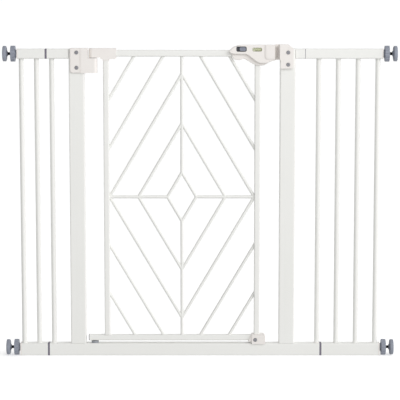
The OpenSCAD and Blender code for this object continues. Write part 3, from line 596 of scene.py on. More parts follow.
def make_knuckle():
    cheek = block("cheek", boss_low, (post_high.x + cheek_w, boss_high.y, boss_high.z))
    arm = block("arm", (post_high.x + 2 * mm, boss_low.y, boss_low.z), (boss_high.x, 0, boss_top))
    round_corner(arm, lambda c: near(c.x, boss_high.x) and near(c.y, boss_low.y), 7.9 * mm, 14)
    back = block("back", (post_high.x + 2 * mm, -mm, boss_low.z), (hinge_x, boss_r, boss_top))
    cut(arm, back, rod_z("boss", hinge_x, boss_r, boss_low.z, boss_top), operation="UNION")
    corner_r = 3.5 * mm
    limit = block("limit", (post_high.x, boss_low.y - mm, boss_low.z - mm),
                  (boss_high.x, boss_high.y, boss_top))
    round_corner(limit, lambda c: near(c.x, boss_high.x) and near(c.z, boss_top), corner_r, 8)
    cut(arm, limit, operation="INTERSECT")
    cut(cheek, arm, operation="UNION")
    cut(cheek, block("post_room", post_low, post_high))
    cut(cheek, rod_z("bore", hinge_x, bush_r + 0.02 * mm, boss_low.z - mm, boss_top + mm))
    spring_room_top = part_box("hinge_spring")[1].z + 3 * mm
    cut(cheek, rod_z("spring_room", hinge_x, spring_room_r, boss_low.z - mm, spring_room_top))
    cut(cheek, block("seam", (boss_low.x - mm, boss_low.y - mm, boss_low.z - mm),
                     (boss_low.x + seam_w / 2, boss_low.y + seam_depth, boss_high.z + mm)))
    return soften(cheek, 0.6 * mm)


knuckle = surface_on(make_knuckle(), white_abs)
knuckle.name = "hinge_boss"
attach(knuckle, "frame")
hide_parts("hinge_knuckle")

# ---------------------------------------------------------------------------
# Hinge hardware: acetal bushes, bright zinc pins that rise with the door, and
# the torsion spring that swings it shut, coiled from 1.6 mm spring wire.
# ---------------------------------------------------------------------------
# Acetal, natural grey, slick and faintly shiny
acetal = moulded("grey acetal", "8C8F96", "9A9DA3", 1.0, 0.28, 0.4)


# Bright zinc plate: silver, softly clouded, a little rough
silver = plated("bright zinc plated steel", "B4B6BA", "C9CBCE", 1, 4, 4, 0.22, 0.36)
finish_node("hinge_bushes", acetal)
finish_node("upper_hinge_pin", silver)
finish_node("lower_hinge_pin", silver)


def wire_coil(name, mean_r, wire_r, turns, length):
    """A wire ring's section, wound up about Z by a screw modifier and closed at both ends."""
    deselect()
    bpy.ops.mesh.primitive_circle_add(vertices=12, radius=wire_r, location=(mean_r, 0, wire_r),
                                      rotation=(math.pi / 2, 0, 0))
    coil = settle(name)
    finish_with(coil, "SCREW", axis="Z", angle=2 * math.pi, steps=32, render_steps=32,
                screw_offset=(length - 2 * wire_r) / turns, iterations=turns)
    bpy.ops.object.mode_set(mode="EDIT")
    bpy.ops.mesh.select_all(action="SELECT")
    bpy.ops.mesh.remove_doubles(threshold=0.001 * mm)
    bpy.ops.mesh.select_all(action="DESELECT")
    bpy.ops.mesh.select_mode(type="EDGE")
    bpy.ops.mesh.select_non_manifold()
    bpy.ops.mesh.edge_face_add()
    bpy.ops.mesh.select_all(action="SELECT")
    bpy.ops.mesh.normals_make_consistent(inside=False)
    bpy.ops.object.mode_set(mode="OBJECT")
    return smooth(coil, 50)


coil_low, coil_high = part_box("hinge_spring")
wire_r = 0.8 * mm
torsion = wire_coil("torsion_spring", (coil_high.x - coil_low.x) / 2 - wire_r, wire_r, 6,
                    coil_high.z - coil_low.z)
torsion.matrix_world = Matrix.Translation((hinge_x, 0, coil_low.z))
surface_on(settle("torsion_spring"), silver)
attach(torsion, "frame")
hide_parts("hinge_spring")

# ---------------------------------------------------------------------------
# Corner cap: a moulded ABS shell over the door's upper hinge corner, with a
# half-round end over the pin and a short collar round the stile.
# ---------------------------------------------------------------------------
cap_low, cap_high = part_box("hinge_corner_cap")
stile_low, stile_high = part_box("hinge_stile")
top_low, top_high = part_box("door_top_rail")
collar_t = 1.5 * mm


def make_cap():
    step_x = boss_high.x + 7.9 * mm
    shell = block("cap", (cap_low.x, cap_low.y, cap_low.z + cap_collar_h), cap_high)
    round_corner(shell, lambda c: near(c.x, cap_low.x) and abs(c.y) > 5 * mm,
                 (cap_high.y - cap_low.y) / 2 - 0.02 * mm, 14)
    round_corner(shell, lambda c: near(c.x, cap_high.x) and near(c.z, cap_low.z + cap_collar_h), 4 * mm, 6)
    round_corner(shell, lambda c: near(c.z, cap_high.z) and not near(c.x, cap_high.x), 1.6 * mm, 4)
    ring = block("ring", (stile_low.x - collar_t, cap_low.y, cap_low.z),
                 (stile_high.x + collar_t, cap_high.y, cap_low.z + cap_collar_h + mm))
    cut(shell, ring, operation="UNION")
    cut(shell, block("notch", (cap_low.x - mm, cap_low.y - mm, cap_low.z - mm),
                     (step_x, cap_high.y + mm, cap_low.z + cap_collar_h + cap_step)))
    inside = block("rail_room", (top_low.x, top_low.y, top_low.z), (cap_high.x + mm, top_high.y, top_high.z))
    neck = block("stile_room", (stile_low.x, stile_low.y, cap_low.z - mm),
                 (stile_high.x, stile_high.y, top_low.z + mm))
    cut(shell, cut(inside, neck, operation="UNION"))
    pin_room = rod_z("pin_room", hinge_x, 4.1 * mm, cap_low.z, pin_high.z)
    head_room = rod_z("head_room", hinge_x, 6.9 * mm, pin_high.z - 3.2 * mm, pin_high.z + 0.1 * mm)
    cut(shell, pin_room, head_room)
    return soften(shell, 0.6 * mm)


cap = surface_on(make_cap(), white_abs)
cap.name = "door_corner_cap"
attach(cap, "door")
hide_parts("hinge_corner_cap")

# ---------------------------------------------------------------------------
# Weld beads of the door: every round rod of the diamond pattern is spot welded
# where it meets a stile, a rail or the cross, and coated over.
# ---------------------------------------------------------------------------
diamond_step = 121 * mm
latch_stile_low, latch_stile_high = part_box("latch_stile")
low_rail_low, low_rail_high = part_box("door_bottom_rail")
mid_x = (stile_high.x + latch_stile_low.x) / 2
mid_z = (top_low.z + low_rail_high.z) / 2
half_w = latch_stile_low.x - mid_x
half_h = top_low.z - mid_z
slope = 2.5 * diamond_step / half_w


def weld_bead():
    """One bead: a small ball, flattened along Z and given lumps."""
    deselect()
    bpy.ops.mesh.primitive_uv_sphere_add(segments=20, ring_count=10, radius=4.6 * mm)
    return lumpy(settle("weld_bead"), (1.15, 0.98, 0.42), 3 * mm)


bead = weld_bead()
lying = Matrix.Identity(4)
standing = Matrix.Rotation(math.pi / 2, 4, "Y")
bead_places = [(0, half_h, lying), (half_w, 0, standing)]
for ring in range(3, 5):
    height = (ring + 0.5) * diamond_step
    bead_places.append(((height - half_h) / slope, half_h, lying))
    bead_places.append((half_w, height - slope * half_w, standing))
beads = []
for dx, dz, turn in bead_places:
    for sx in (1, -1) if dx else (1,):
        for sz in (1, -1) if dz else (1,):
            beads.append(place_copy(bead, Matrix.Translation((mid_x + sx * dx, 0, mid_z + sz * dz)) @ turn))
door_welds = smooth(join(beads, "door_welds"), 60)
bpy.data.objects.remove(bead)
surface_on(door_welds, coat)
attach(door_welds, "door")

# ---------------------------------------------------------------------------
# Handle cover: the moulded ABS shell that the hand closes on. A level grip, an
# S-shaped lower edge, a soft raised pad over the bolt's end, a slot for the slide
# button whose walls are painted dark grey as shade, and a small indicator window
# whose olive rim is darkened as painted shade.
# ---------------------------------------------------------------------------
cover_low, cover_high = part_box("handle_cover")
cover_low.y = -21 * mm  # the flat front; only the raised pad stands before it
length = cover_high.x - cover_low.x
top_z = cover_high.z
# Dark grey, matt: painted shade for the slot's walls, the sheet seen through it, the button's base and the
# arm's front
slot_shade_paint = moulded("dark grey painted slot shade", "585A5F", "63666C", 0.9, 0.5, 0.62)
# A dull olive for the window's rim: the olive tint is the rim's own, its darkness is painted shade of the
# recess
olive = moulded("olive rim with painted shade", "80825F", "8C8E69", 0.9, 0.45, 0.6)


def ease(t):
    t = min(max(t, 0), 1)
    return t * t * (3 - 2 * t)


def cover_top(u):
    """Upper edge of the cover at u mm from its tip, in mm from the handle's top."""
    if u >= 30:
        return 0
    t = (math.sqrt(256 + 56 * u) - 16) / 28
    return -16.5 * (1 - t) ** 2 - 6 * t * (1 - t)


def cover_edge(u):
    """Lower edge of the cover at u mm from its tip, in mm from the handle's top."""
    grip = -23
    if u < 16:
        t = (math.sqrt(4 + 56 * u) - 2) / 28
        return -16.5 * (1 - t) ** 2 + (grip + 0.5) * 2 * t * (1 - t) + grip * t * t
    return grip - 22 * ease((u - 37) / 40) + 6.5 * ease((u - 88) / 24)


def shape_columns(piece, stations, upper, lower):
    """Slices a block along X and moves the top and bottom of each slice to two curves."""
    x0 = min(v.co.x for v in piece.data.vertices)
    z0 = min(v.co.z for v in piece.data.vertices)
    z1 = max(v.co.z for v in piece.data.vertices)
    hold(piece)
    bpy.ops.object.mode_set(mode="EDIT")
    for u in stations[1:-1]:
        bpy.ops.mesh.select_all(action="SELECT")
        bpy.ops.mesh.bisect(plane_co=(x0 + u * mm, 0, 0), plane_no=(1, 0, 0))
    bpy.ops.object.mode_set(mode="OBJECT")
    for u in stations:
        for level, goal in ((z1, upper(u)), (z0, lower(u))):
            pick(piece, "VERT", lambda c: near(c.x, x0 + u * mm) and near(c.z, level))
            bpy.ops.transform.translate(value=(0, 0, top_z + goal * mm - level))
            bpy.ops.object.mode_set(mode="OBJECT")
    return piece


def capsule(name, x, z, width, height, y0, y1, radius):
    """A rounded rectangular prism along Y."""
    prism = block(name, (x - width / 2, y0, z - height / 2), (x + width / 2, y1, z + height / 2))
    round_corner(prism, lambda c: not near(abs(c.x - x), 0) and not near(abs(c.z - z), 0), radius, 8)
    return prism


slot_l, slot_h = 26 * mm, 13.6 * mm
slot_x = cover_low.x + 17.2 * mm + slot_l / 2
slot_z = top_z - 10.6 * mm
window_l, window_h = 24 * mm, 9.6 * mm
window_x = cover_low.x + 68.5 * mm
window_z = top_z - 11.8 * mm
rim = 1.0 * mm
end_pad_x = cover_high.x - 25.4 * mm
end_pad_z = top_z - 36.7 * mm
end_pad_rise = 1.8 * mm


def flared(name, x, z, width, height, radius):
    """Cutter for an opening in the cover's front, whose rim narrows over the first millimetre."""
    y0, y1 = cover_low.y - 0.5 * mm, cover_low.y + rim
    funnel = capsule(name, x, z, width, height, y0, y1, radius)
    pick(funnel, "VERT", lambda c: near(c.y, y1))
    bpy.ops.transform.resize(value=(1 - 2 * rim / width, 1, 1 - 2 * rim / height),
                             center_override=(x, y1, z))
    bpy.ops.object.mode_set(mode="OBJECT")
    hole = capsule("hole", x, z, width - 2 * rim, height - 2 * rim, y1 - 0.1 * mm, cover_low.y + 4.1 * mm,
                   radius - rim)
    return cut(funnel, hole, operation="UNION")


def one_face(piece, y):
    """Makes the end of a prism at depth y a single face, and selects its outline."""
    pick(piece, "FACE", lambda c: near(c.y, y))
    bpy.ops.mesh.dissolve_faces()
    bpy.ops.mesh.region_to_loop()


def make_cover():
    stations = [0, 1.5, 4, 7, 11, 16, 21, 26, 30, 34, 37]
    stations += [37 + 2.5 * k for k in range(1, 17)] + [82, 88, 92, 96, 100, 104, 108, length / mm]
    shell = block("cover", (cover_low.x, cover_low.y, top_z - 60 * mm), cover_high)
    shape_columns(shell, stations, cover_top, cover_edge)
    pick(shell, "VERT", lambda c: True)
    bpy.ops.mesh.remove_doubles(threshold=0.01 * mm)
    bpy.ops.object.mode_set(mode="OBJECT")
    one_face(shell, cover_high.y)
    bpy.ops.object.mode_set(mode="OBJECT")
    one_face(shell, cover_low.y)
    bpy.ops.mesh.bevel(offset=2.3 * mm, segments=5, clamp_overlap=False)
    bpy.ops.object.mode_set(mode="OBJECT")
    # Raised pad over the bolt's end, its left and lower sides rounded off softly
    slope = 6 * mm
    pad_shape = block("end_pad", (end_pad_x, cover_low.y - slope, end_pad_z),
                      (cover_high.x + 20 * mm, cover_low.y + slope, top_z + 20 * mm))
    round_corner(pad_shape, lambda c: near(c.x, end_pad_x) and near(c.z, end_pad_z), 9 * mm, 12)
    one_face(pad_shape, cover_low.y - slope)
    bpy.ops.mesh.bevel(offset=0.98 * slope, segments=8)
    bpy.ops.mesh.select_all(action="SELECT")
    bpy.ops.transform.resize(value=(1, end_pad_rise / slope, 1), center_override=(0, cover_low.y, 0))
    bpy.ops.object.mode_set(mode="OBJECT")
    limits = block("limits", (end_pad_x - mm, cover_low.y - 9 * mm, end_pad_z - mm),
                   (cover_high.x - 0.7 * mm, cover_low.y + 0.8 * mm, top_z - 0.8 * mm))
    cut(pad_shape, limits, operation="INTERSECT")
    cut(shell, pad_shape, operation="UNION")
    # Room inside for the bolt's arm and its spring
    back = cover_high.y + mm
    inside_y = cover_low.y + 2.2 * mm
    cut(shell, block("arm_room", (cover_low.x + 18.4 * mm, inside_y, top_z - 18.5 * mm),
                     (end_pad_x, back, top_z - 3.5 * mm)))
    cut(shell, block("spring_room", (cover_low.x + 8.5 * mm, inside_y, top_z - 15.5 * mm),
                     (cover_low.x + 21 * mm, back, top_z - 8.8 * mm)))
    cut(shell, flared("slot", slot_x, slot_z, slot_l, slot_h, 4.5 * mm))
    cut(shell, flared("window", window_x, window_z, window_l, window_h, 3.5 * mm))
    soften(shell, 0.35 * mm, 2)
    return shell


cover = surface_on(make_cover(), white_abs, slot_shade_paint, olive)
# Painted shade: the slot's walls take the dark grey, the window's walls the olive rim darkened as shade
for face in cover.data.polygons:
    c = face.center
    for index, x, z, width, height in ((1, slot_x, slot_z, slot_l, slot_h),
                                       (2, window_x, window_z, window_l, window_h)):
        inside = abs(c.x - x) < width / 2 + 0.1 * mm and abs(c.z - z) < height / 2 + 0.1 * mm
        if inside and cover_low.y + 0.1 * mm < c.y < cover_low.y + 4.5 * mm:
            face.material_index = index
# A dark grey sheet on the handle's inner face: painted shade seen through the slot
slot_shade_sheet = block("slot_shade_sheet", (slot_x - slot_l / 2 + 0.4 * mm, cover_high.y - 0.4 * mm, top_z - 18.4 * mm),
              (slot_x + slot_l, cover_high.y - 0.02 * mm, top_z - 3.6 * mm))
cover = join([cover, surface_on(soften(slot_shade_sheet, 0.1 * mm, 1), slot_shade_paint)], "cover")
cover.name = "grip_cover"
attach(cover, "door")
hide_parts("handle_cover")

# ---------------------------------------------------------------------------
# Handle body: the front and back halves that close round the door's corner
# under the cover. ABS; the front half carries a finger rest below the grip.
# ---------------------------------------------------------------------------
body_start = 3
bolt_low, bolt_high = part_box("lock_bolt")
lock_travel = 6 * mm
slide_gap = 0.5 * mm


def body_top(u):
    return cover_top(u + body_start) - 1.2


def body_edge(u):
    """Lower edge of both halves: a finger rest, then a curve that follows the cover's."""
    u = max(u + body_start, 10)
    follow = -23 - 22 * ease((u - 30) / 40) + 6.5 * ease((u - 81) / 24)
    follow += -6 - 4 * (1 - ease((u - 34) / 30)) + 6 * ease((u - 84) / 24)
    rest = -37.5 + 3 * abs((u - 22.5) / 11) ** 4
    return min(follow, rest)


def make_half(name, node, outer_y):
    low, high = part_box(node)
    low.x = cover_low.x + body_start * mm
    half = block(name, (low.x, low.y, top_z - 60 * mm), (high.x, high.y, top_z))
    stations = [0, 3, 7] + [7 + 2.5 * k for k in range(1, 40)] + [(high.x - low.x) / mm]

    def under(u):
        return body_edge(u) + (15 * (1 - u / 7) if u < 7 else 0)

    shape_columns(half, stations, body_top, under)
    for y in (low.y, high.y):
        one_face(half, y)
        if near(y, outer_y):
            bpy.ops.mesh.bevel(offset=2 * mm, segments=4, clamp_overlap=False)
        bpy.ops.object.mode_set(mode="OBJECT")
    room = block("rail_room", (low.x - mm, top_low.y, top_low.z), (top_high.x, top_high.y, top_high.z))
    neck = block("stile_room", (latch_stile_low.x, latch_stile_low.y, top_z - 80 * mm),
                 (latch_stile_high.x, latch_stile_high.y, top_high.z))
    return cut(half, room, neck)


front_half = make_half("handle_front_half", "handle_body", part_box("handle_body")[0].y)
nose_x0 = top_high.x + lock_travel + slide_gap
cut(front_half, block("bolt_room",
                      (nose_x0 - lock_travel - slide_gap, cover_high.y - mm, bolt_low.z - slide_gap),
                      (cover_high.x - 2.2 * mm, 0.1 * mm, bolt_high.z + slide_gap)))
cut(front_half, block("nose_room", (nose_x0, -6.5 * mm, bolt_low.z - slide_gap),
                      (cover_high.x + mm, 0.1 * mm, bolt_high.z + slide_gap)))
back_half = make_half("handle_back_half", "handle_back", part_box("handle_back")[1].y)
back_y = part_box("handle_back")[1].y
screw_seats(back_half, "door_screws", back_y, lambda low, high: high.y > back_y)
for half, node in ((front_half, "handle_body"), (back_half, "handle_back")):
    surface_on(soften(half, 0.4 * mm, 2), white_abs)
    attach(half, "door")
    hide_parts(node)

# ---------------------------------------------------------------------------
# Slide button and bolt: the thumb button sits in the slot on the bolt's arm.
# A dark grey base, painted shade round the pad in the slot, and a blue-grey ribbed pad;
# the arm and the nose are acetal toned light grey as painted shade, the arm's front
# painted dark grey as shade where the slot shows it.
# ---------------------------------------------------------------------------
button_low, button_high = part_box("slide_button")
# ABS, satin blue grey
blue_abs = moulded("blue grey moulded ABS", "828796", "8F94A2", 0.9, 0.34, 0.46)


def make_button():
    x, z = (button_low.x + button_high.x) / 2, (button_low.z + button_high.z) / 2
    base_y = button_low.y + 3.2 * mm
    base = capsule("base", x, z, 17 * mm, 10.4 * mm, base_y, button_high.y, 3 * mm)
    soften(base, 0.4 * mm, 2)
    thumb = capsule("thumb", x, z, 14.4 * mm, 8.4 * mm, button_low.y, base_y + 0.5 * mm, 3 * mm)
    for k in range(-2, 3):
        groove = x + k * 2.2 * mm
        cut(thumb, block("groove", (groove - 0.4 * mm, button_low.y - mm, z - 3 * mm),
                         (groove + 0.4 * mm, button_low.y + 0.6 * mm, z + 3 * mm)))
    soften(thumb, 0.5 * mm, 3)
    # Painted shade: the base's dark grey stands for the shade round the thumb pad
    surface_on(base, slot_shade_paint)
    surface_on(thumb, blue_abs)
    return join([thumb, base], "slide_thumb_button")


button = make_button()
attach(button, "lock")
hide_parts("slide_button")

# Acetal, slick, toned warm light grey as painted shade for the nose set back behind the handle's end
acetal_painted_shade = moulded("acetal toned grey as painted shade", "CFCAC4", "D6D1CB", 1.0, 0.3, 0.42)


def make_bolt():
    arm_low_z = top_z - 16 * mm
    arm = block("arm", (bolt_low.x, bolt_low.y, arm_low_z),
                (nose_x0 + 2.5 * mm, cover_high.y - slide_gap, bolt_high.z))
    neck = block("neck", (nose_x0, cover_high.y - 2 * mm, arm_low_z),
                 (nose_x0 + 2.5 * mm, -5 * mm, bolt_high.z))
    nose = block("nose", (nose_x0, -6 * mm, bolt_low.z), (bolt_high.x, bolt_high.y, bolt_high.z))
    round_corner(nose, lambda c: near(c.x, bolt_high.x) and near(c.y, -6 * mm), 2.5 * mm, 5)
    cut(arm, neck, nose, operation="UNION")
    soften(arm, 0.4 * mm, 2)
    surface_on(arm, acetal_painted_shade, slot_shade_paint)
    # A line across the arm's front, where its dark grey painted slot shade ends
    slot_shade_end_x = slot_x + slot_l / 2 + 8 * mm
    pick(arm, "FACE", lambda c: near(c.y, bolt_low.y))
    bpy.ops.mesh.bisect(plane_co=(slot_shade_end_x, 0, 0), plane_no=(1, 0, 0))
    bpy.ops.object.mode_set(mode="OBJECT")
    for face in arm.data.polygons:
        face.material_index = int(face.center.y < bolt_low.y + 0.2 * mm and face.center.x < slot_shade_end_x)
    return arm


bolt = make_bolt()
bolt.name = "sliding_bolt"
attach(bolt, "lock")
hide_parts("lock_bolt")

spring_low, spring_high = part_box("lock_spring")
spring_wire = 0.3 * mm
return_spring = wire_coil("return_spring", (spring_high.z - spring_low.z) / 2 - spring_wire, spring_wire, 5,
                          spring_high.x - spring_low.x)
return_spring.matrix_world = Matrix.Translation(
    (spring_low.x, (spring_low.y + spring_high.y) / 2, (spring_low.z + spring_high.z) / 2)
) @ Matrix.Rotation(math.pi / 2, 4, "Y")
surface_on(settle("return_spring"), silver)
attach(return_spring, "door")
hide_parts("lock_spring")

# ---------------------------------------------------------------------------
# Indicator: a clear polycarbonate lens set in the cover over a printed strip
# on the bolt. The strip is green while the door is locked.
# ---------------------------------------------------------------------------


def clear_polycarbonate():
    """Polycarbonate, clear with a faint straw tint and a few moulding ripples."""
    surface, tree, skin, place = new_surface("clear polycarbonate")
    skin.inputs["Base Color"].default_value = shade("F3F5E6")
    skin.inputs["Transmission Weight"].default_value = 0.92
    skin.inputs["IOR"].default_value = 1.58
    ripple = add(tree, "ShaderNodeTexNoise", {"Scale": 1000 / 6, "Detail": 1}, {"Vector": place})
    gloss = add(tree, "ShaderNodeMapRange", {"To Min": 0.03, "To Max": 0.09},
                {"Value": ripple.outputs["Fac"]})
    tree.links.new(gloss.outputs["Result"], skin.inputs["Roughness"])
    return surface


def printed_strip():
    """Printed styrene: pale at the grip end, yellow green beyond, a dull olive line along its foot."""
    surface, tree, skin, place = new_surface("printed indicator strip")
    parts = add(tree, "ShaderNodeSeparateXYZ", {}, {"Vector": place})
    green_from = add(tree, "ShaderNodeMath", {"operation": "GREATER_THAN", 1: window_x - 5 * mm},
                     {0: parts.outputs["X"]})
    foot = add(tree, "ShaderNodeMath", {"operation": "LESS_THAN", 1: window_z - 2.2 * mm},
               {0: parts.outputs["Z"]})
    olive_foot = add(tree, "ShaderNodeMath", {"operation": "MULTIPLY"},
                     {0: green_from.outputs[0], 1: foot.outputs[0]})
    ink = add(tree, "ShaderNodeMix", {"data_type": "RGBA", 6: shade("FFFFF8"), 7: shade("F6F8DA")},
              {0: green_from.outputs[0]})
    lined = add(tree, "ShaderNodeMix", {"data_type": "RGBA", 7: shade("B9BC86")},
                {0: olive_foot.outputs[0], 6: ink.outputs[2]})
    grain = add(tree, "ShaderNodeTexNoise", {"Scale": 1000 / 0.8}, {"Vector": place})
    gloss = add(tree, "ShaderNodeMapRange", {"To Min": 0.4, "To Max": 0.5}, {"Value": grain.outputs["Fac"]})
    tree.links.new(lined.outputs[2], skin.inputs["Base Color"])
    tree.links.new(gloss.outputs["Result"], skin.inputs["Roughness"])
    return surface


finish_node("indicator_flag", printed_strip())


def make_lens():
    low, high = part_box("indicator_window")
    lens = capsule("lens", window_x, window_z, window_l - 2.1 * rim, window_h - 2.1 * rim,
                   cover_low.y + 0.9 * mm, high.y, 2.4 * mm)
    return soften(lens, 0.35 * mm, 3)


lens = surface_on(make_lens(), clear_polycarbonate())
lens.name = "indicator_lens"
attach(lens, "door")
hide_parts("indicator_window")

# ---------------------------------------------------------------------------
# Latch receiver: an ABS block clipped over the latch post's head, with a cut
# corner, a narrow tab below and a stop wing behind the bolt. Two screws.
# ---------------------------------------------------------------------------
catch_low, catch_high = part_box("latch_receiver")
latch_post_low, latch_post_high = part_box("right_post")


def make_receiver():
    x0 = latch_post_low.x - 2 * mm
    main_z = top_z - 37.5 * mm
    catch = block("catch", (x0, catch_low.y, main_z), catch_high)
    cut_x, cut_z = 11.5 * mm, 9 * mm
    pick(catch, "VERT", lambda c: True)
    bpy.ops.mesh.bisect(plane_co=(catch_high.x - cut_x, 0, top_z), plane_no=(cut_z, 0, cut_x),
                        use_fill=True, clear_outer=True)
    bpy.ops.object.mode_set(mode="OBJECT")
    tab = block("tab", (latch_post_low.x + mm, catch_low.y, catch_low.z),
                (catch_high.x, catch_high.y, main_z + mm))
    round_corner(tab, lambda c: near(c.x, catch_high.x) and near(c.z, catch_low.z), 4 * mm, 6)
    round_corner(tab, lambda c: near(c.x, latch_post_low.x + mm) and near(c.z, catch_low.z), 2 * mm, 5)
    cut(catch, tab, operation="UNION")
    round_corner(catch, lambda c: near(c.y, catch_low.y) and near(c.x, x0), 2 * mm, 4)
    wing = block("wing", (catch_low.x, 0.2 * mm, main_z), (x0 + mm, 9 * mm, top_z))
    cut(catch, wing, operation="UNION")
    cut(catch, block("post_room", (latch_post_low.x, latch_post_low.y, catch_low.z - mm),
                     (catch_high.x + mm, latch_post_high.y, latch_post_high.z)))
    screw_seats(catch, "bracket_screws", catch_low.y, lambda low, high: low.x > 0)
    return soften(catch, 0.8 * mm)


receiver = surface_on(make_receiver(), white_abs)
receiver.name = "latch_post_catch"
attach(receiver, "frame")
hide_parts("latch_receiver")

# ---------------------------------------------------------------------------
# Bottom latch: an ABS foot on the door's lower corner. Its front plate hooks
# over the floor rail until the door is lifted. One screw through the plate.
# ---------------------------------------------------------------------------
foot_low, foot_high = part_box("bottom_latch")


def make_foot():
    rake_x, rake_z = 9 * mm, 13 * mm
    sole_z = low_rail_low.z - 2 * mm
    foot = block("foot", (foot_low.x, foot_low.y + 3 * mm, sole_z), foot_high)
    for corner_x, normal in ((foot_low.x + rake_x, (-rake_z, 0, rake_x)),
                             (foot_high.x - 4 * mm, (5, 0, 4))):
        pick(foot, "VERT", lambda c: True)
        bpy.ops.mesh.bisect(plane_co=(corner_x, 0, foot_high.z), plane_no=normal, use_fill=True,
                            clear_outer=True)
        bpy.ops.object.mode_set(mode="OBJECT")
    plate_x0, plate_x1 = foot_low.x + rake_x, foot_high.x - mm
    plate_h = foot_high.z - mm - foot_low.z
    plate = capsule("plate", (plate_x0 + plate_x1) / 2, foot_low.z + plate_h / 2, plate_x1 - plate_x0,
                    plate_h, foot_low.y, foot_low.y + 3.8 * mm, 3 * mm)
    cut(foot, plate, operation="UNION")
    cut(foot, block("rail_room", (foot_low.x - mm, low_rail_low.y, low_rail_low.z),
                    (low_rail_high.x, low_rail_high.y, low_rail_high.z)))
    cut(foot, block("stile_room", (latch_stile_low.x, latch_stile_low.y, low_rail_high.z - mm),
                    (latch_stile_high.x, latch_stile_high.y, foot_high.z + mm)))
    screw_seats(foot, "door_screws", foot_low.y, lambda low, high: high.z < mid_z)
    return soften(foot, 0.7 * mm)


foot = surface_on(make_foot(), white_abs)
foot.name = "lower_catch_foot"
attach(foot, "door")
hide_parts("bottom_latch")

# ---------------------------------------------------------------------------
# Screws: pan-head cross-recess screws in zinc steel, seated in the plastic.
# Four go into the posts, one through the bottom latch and two into the handle's
# back. Each is built about the Y axis by one function, to its own length.
# ---------------------------------------------------------------------------
head_t = 2.5 * mm


def make_screw(shank_l):
    """A screw with its head's front at the origin, pointing along +Y."""
    head = rod_y("screw", 0, 0, screw_head_r, 0, head_t)
    pick(head, "FACE", lambda c: near(c.y, 0))
    bpy.ops.mesh.region_to_loop()
    bpy.ops.mesh.bevel(offset=1.5 * mm, segments=6)
    bpy.ops.object.mode_set(mode="OBJECT")
    for size in ((4.8, 1.0), (1.0, 4.8)):
        wide, tall = size[0] * mm / 2, size[1] * mm / 2
        slot = block("recess", (-wide, -mm, -tall), (wide, 1.5 * mm, tall))
        pick(slot, "VERT", lambda c: c.y > 0)
        bpy.ops.transform.resize(value=(0.6, 1, 0.6), center_override=(0, 1.5 * mm, 0))
        bpy.ops.object.mode_set(mode="OBJECT")
        cut(head, slot)
    shank = rod_y("shank", 0, 0, 2 * mm, head_t - 0.5 * mm, shank_l, 24)
    cut(head, shank, operation="UNION")
    return smooth(head, 30)


# Zinc plate that has dulled to a mid grey, clouded a little lighter and darker
dull_zinc = plated("dull zinc plated screw", "85858A", "9B9B9F", 0.8, 1.2, 3, 0.34, 0.5)
for node, body, piece_name in (("bracket_screws", "frame", "post_screws"),
                               ("door_screws", "door", "handle_screws")):
    placed = []
    for low, high in spots(node, (0, 2), 2 * mm):
        faces_front = high.y < back_y
        screw = make_screw(high.y - low.y)
        turn = 0 if faces_front else math.pi
        screw.matrix_world = Matrix.Translation(
            ((low.x + high.x) / 2, low.y if faces_front else high.y, (low.z + high.z) / 2)
        ) @ Matrix.Rotation(turn, 4, "Z")
        hold(screw)
        placed.append(settle("screw"))
    screws = surface_on(join(placed, piece_name), dull_zinc)
    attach(screws, body)
    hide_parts(node)

# ---------------------------------------------------------------------------
# Stage: a pale seamless floor that glows a little, as a lit white sweep does, a
# soft sky that is dimmer from below and from the left, and a broad key light at
# the upper right.
# ---------------------------------------------------------------------------


def stage_paint(name, tone):
    surface, tree, skin, place = new_surface(name)
    skin.inputs["Roughness"].default_value = 0.9
    skin.inputs["Specular IOR Level"].default_value = 0.1
    mottle = add(tree, "ShaderNodeTexNoise", {"Scale": 2, "Detail": 2}, {"Vector": place})
    mixed = add(tree, "ShaderNodeMix", {"data_type": "RGBA", 6: shade(tone), 7: shade("FBFBFB")},
                {0: mottle.outputs["Fac"]})
    tree.links.new(mixed.outputs[2], skin.inputs["Base Color"])
    return surface


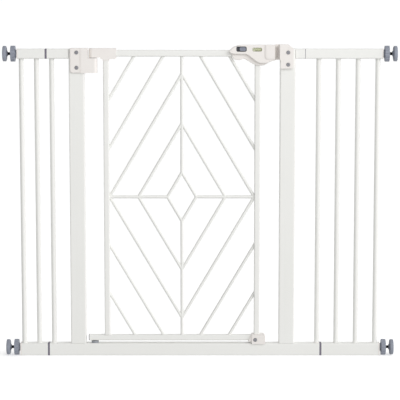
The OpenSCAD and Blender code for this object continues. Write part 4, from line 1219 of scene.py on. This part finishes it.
deselect()
bpy.ops.mesh.primitive_plane_add(size=160)
floor = settle("studio_floor")
sweep = surface_on(floor, stage_paint("pale studio floor", "F8F8F8")).data.materials[0]
sweep.node_tree.nodes["Principled BSDF"].inputs["Emission Color"].default_value = shade("FFFFFF")
sweep.node_tree.nodes["Principled BSDF"].inputs["Emission Strength"].default_value = 0.4
floor.visible_diffuse = False
floor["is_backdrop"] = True


def sky(*gradients):
    """A plain white sky; each gradient scales it between two values along one axis."""
    world = bpy.data.worlds.new("soft sky")
    world.use_nodes = True
    bpy.context.scene.world = world
    tree = world.node_tree
    heading = add(tree, "ShaderNodeTexCoord", {}).outputs["Generated"]
    parts = add(tree, "ShaderNodeSeparateXYZ", {}, {"Vector": heading})
    level = add(tree, "ShaderNodeValue", {}).outputs[0]
    level.default_value = 1
    for axis, start, end, at_start, at_end in gradients:
        ramp = add(tree, "ShaderNodeMapRange", {"From Min": start, "From Max": end, "To Min": at_start,
                                                "To Max": at_end}, {"Value": parts.outputs[axis]})
        level = add(tree, "ShaderNodeMath", {"operation": "MULTIPLY"},
                    {0: ramp.outputs["Result"], 1: level}).outputs[0]
    tree.nodes["Background"].inputs["Color"].default_value = (1, 1, 1, 1)
    tree.links.new(level, tree.nodes["Background"].inputs["Strength"])


sky(("Z", -0.4, 0.1, 0.55, 1.06), ("Z", 0.15, 1, 1, 0.35), ("X", -1, 1, 0.42, 1.62))
for light_name, place, watts, width in (("key_light", (2.1, -2.2, 2.2), 20, 1.6),
                                        ("overhead_light", (0.2, -1.9, 1.5), 6, 1.2)):
    deselect()
    bpy.ops.object.light_add(type="AREA", location=place)
    lamp = bpy.context.object
    lamp.name = light_name
    lamp.data.energy = watts
    lamp.data.shape = "DISK"
    lamp.data.size = width
    lamp.rotation_euler = (lamp.location - Vector((0, 0, 0.45))).to_track_quat("Z", "Y").to_euler()

# ---------------------------------------------------------------------------
# Camera: a long lens in front of the gate, a little above its top edge.
# ---------------------------------------------------------------------------
bpy.ops.object.camera_add(location=(0, -4.329, 0.951), rotation=(math.pi / 2 - 0.1292, 0, 0))
camera = bpy.context.object
camera.name = "front_camera"
camera.data.sensor_width = 36
camera.data.lens = 159.39
camera.data.clip_end = 300
bpy.context.scene.camera = camera

low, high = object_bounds()
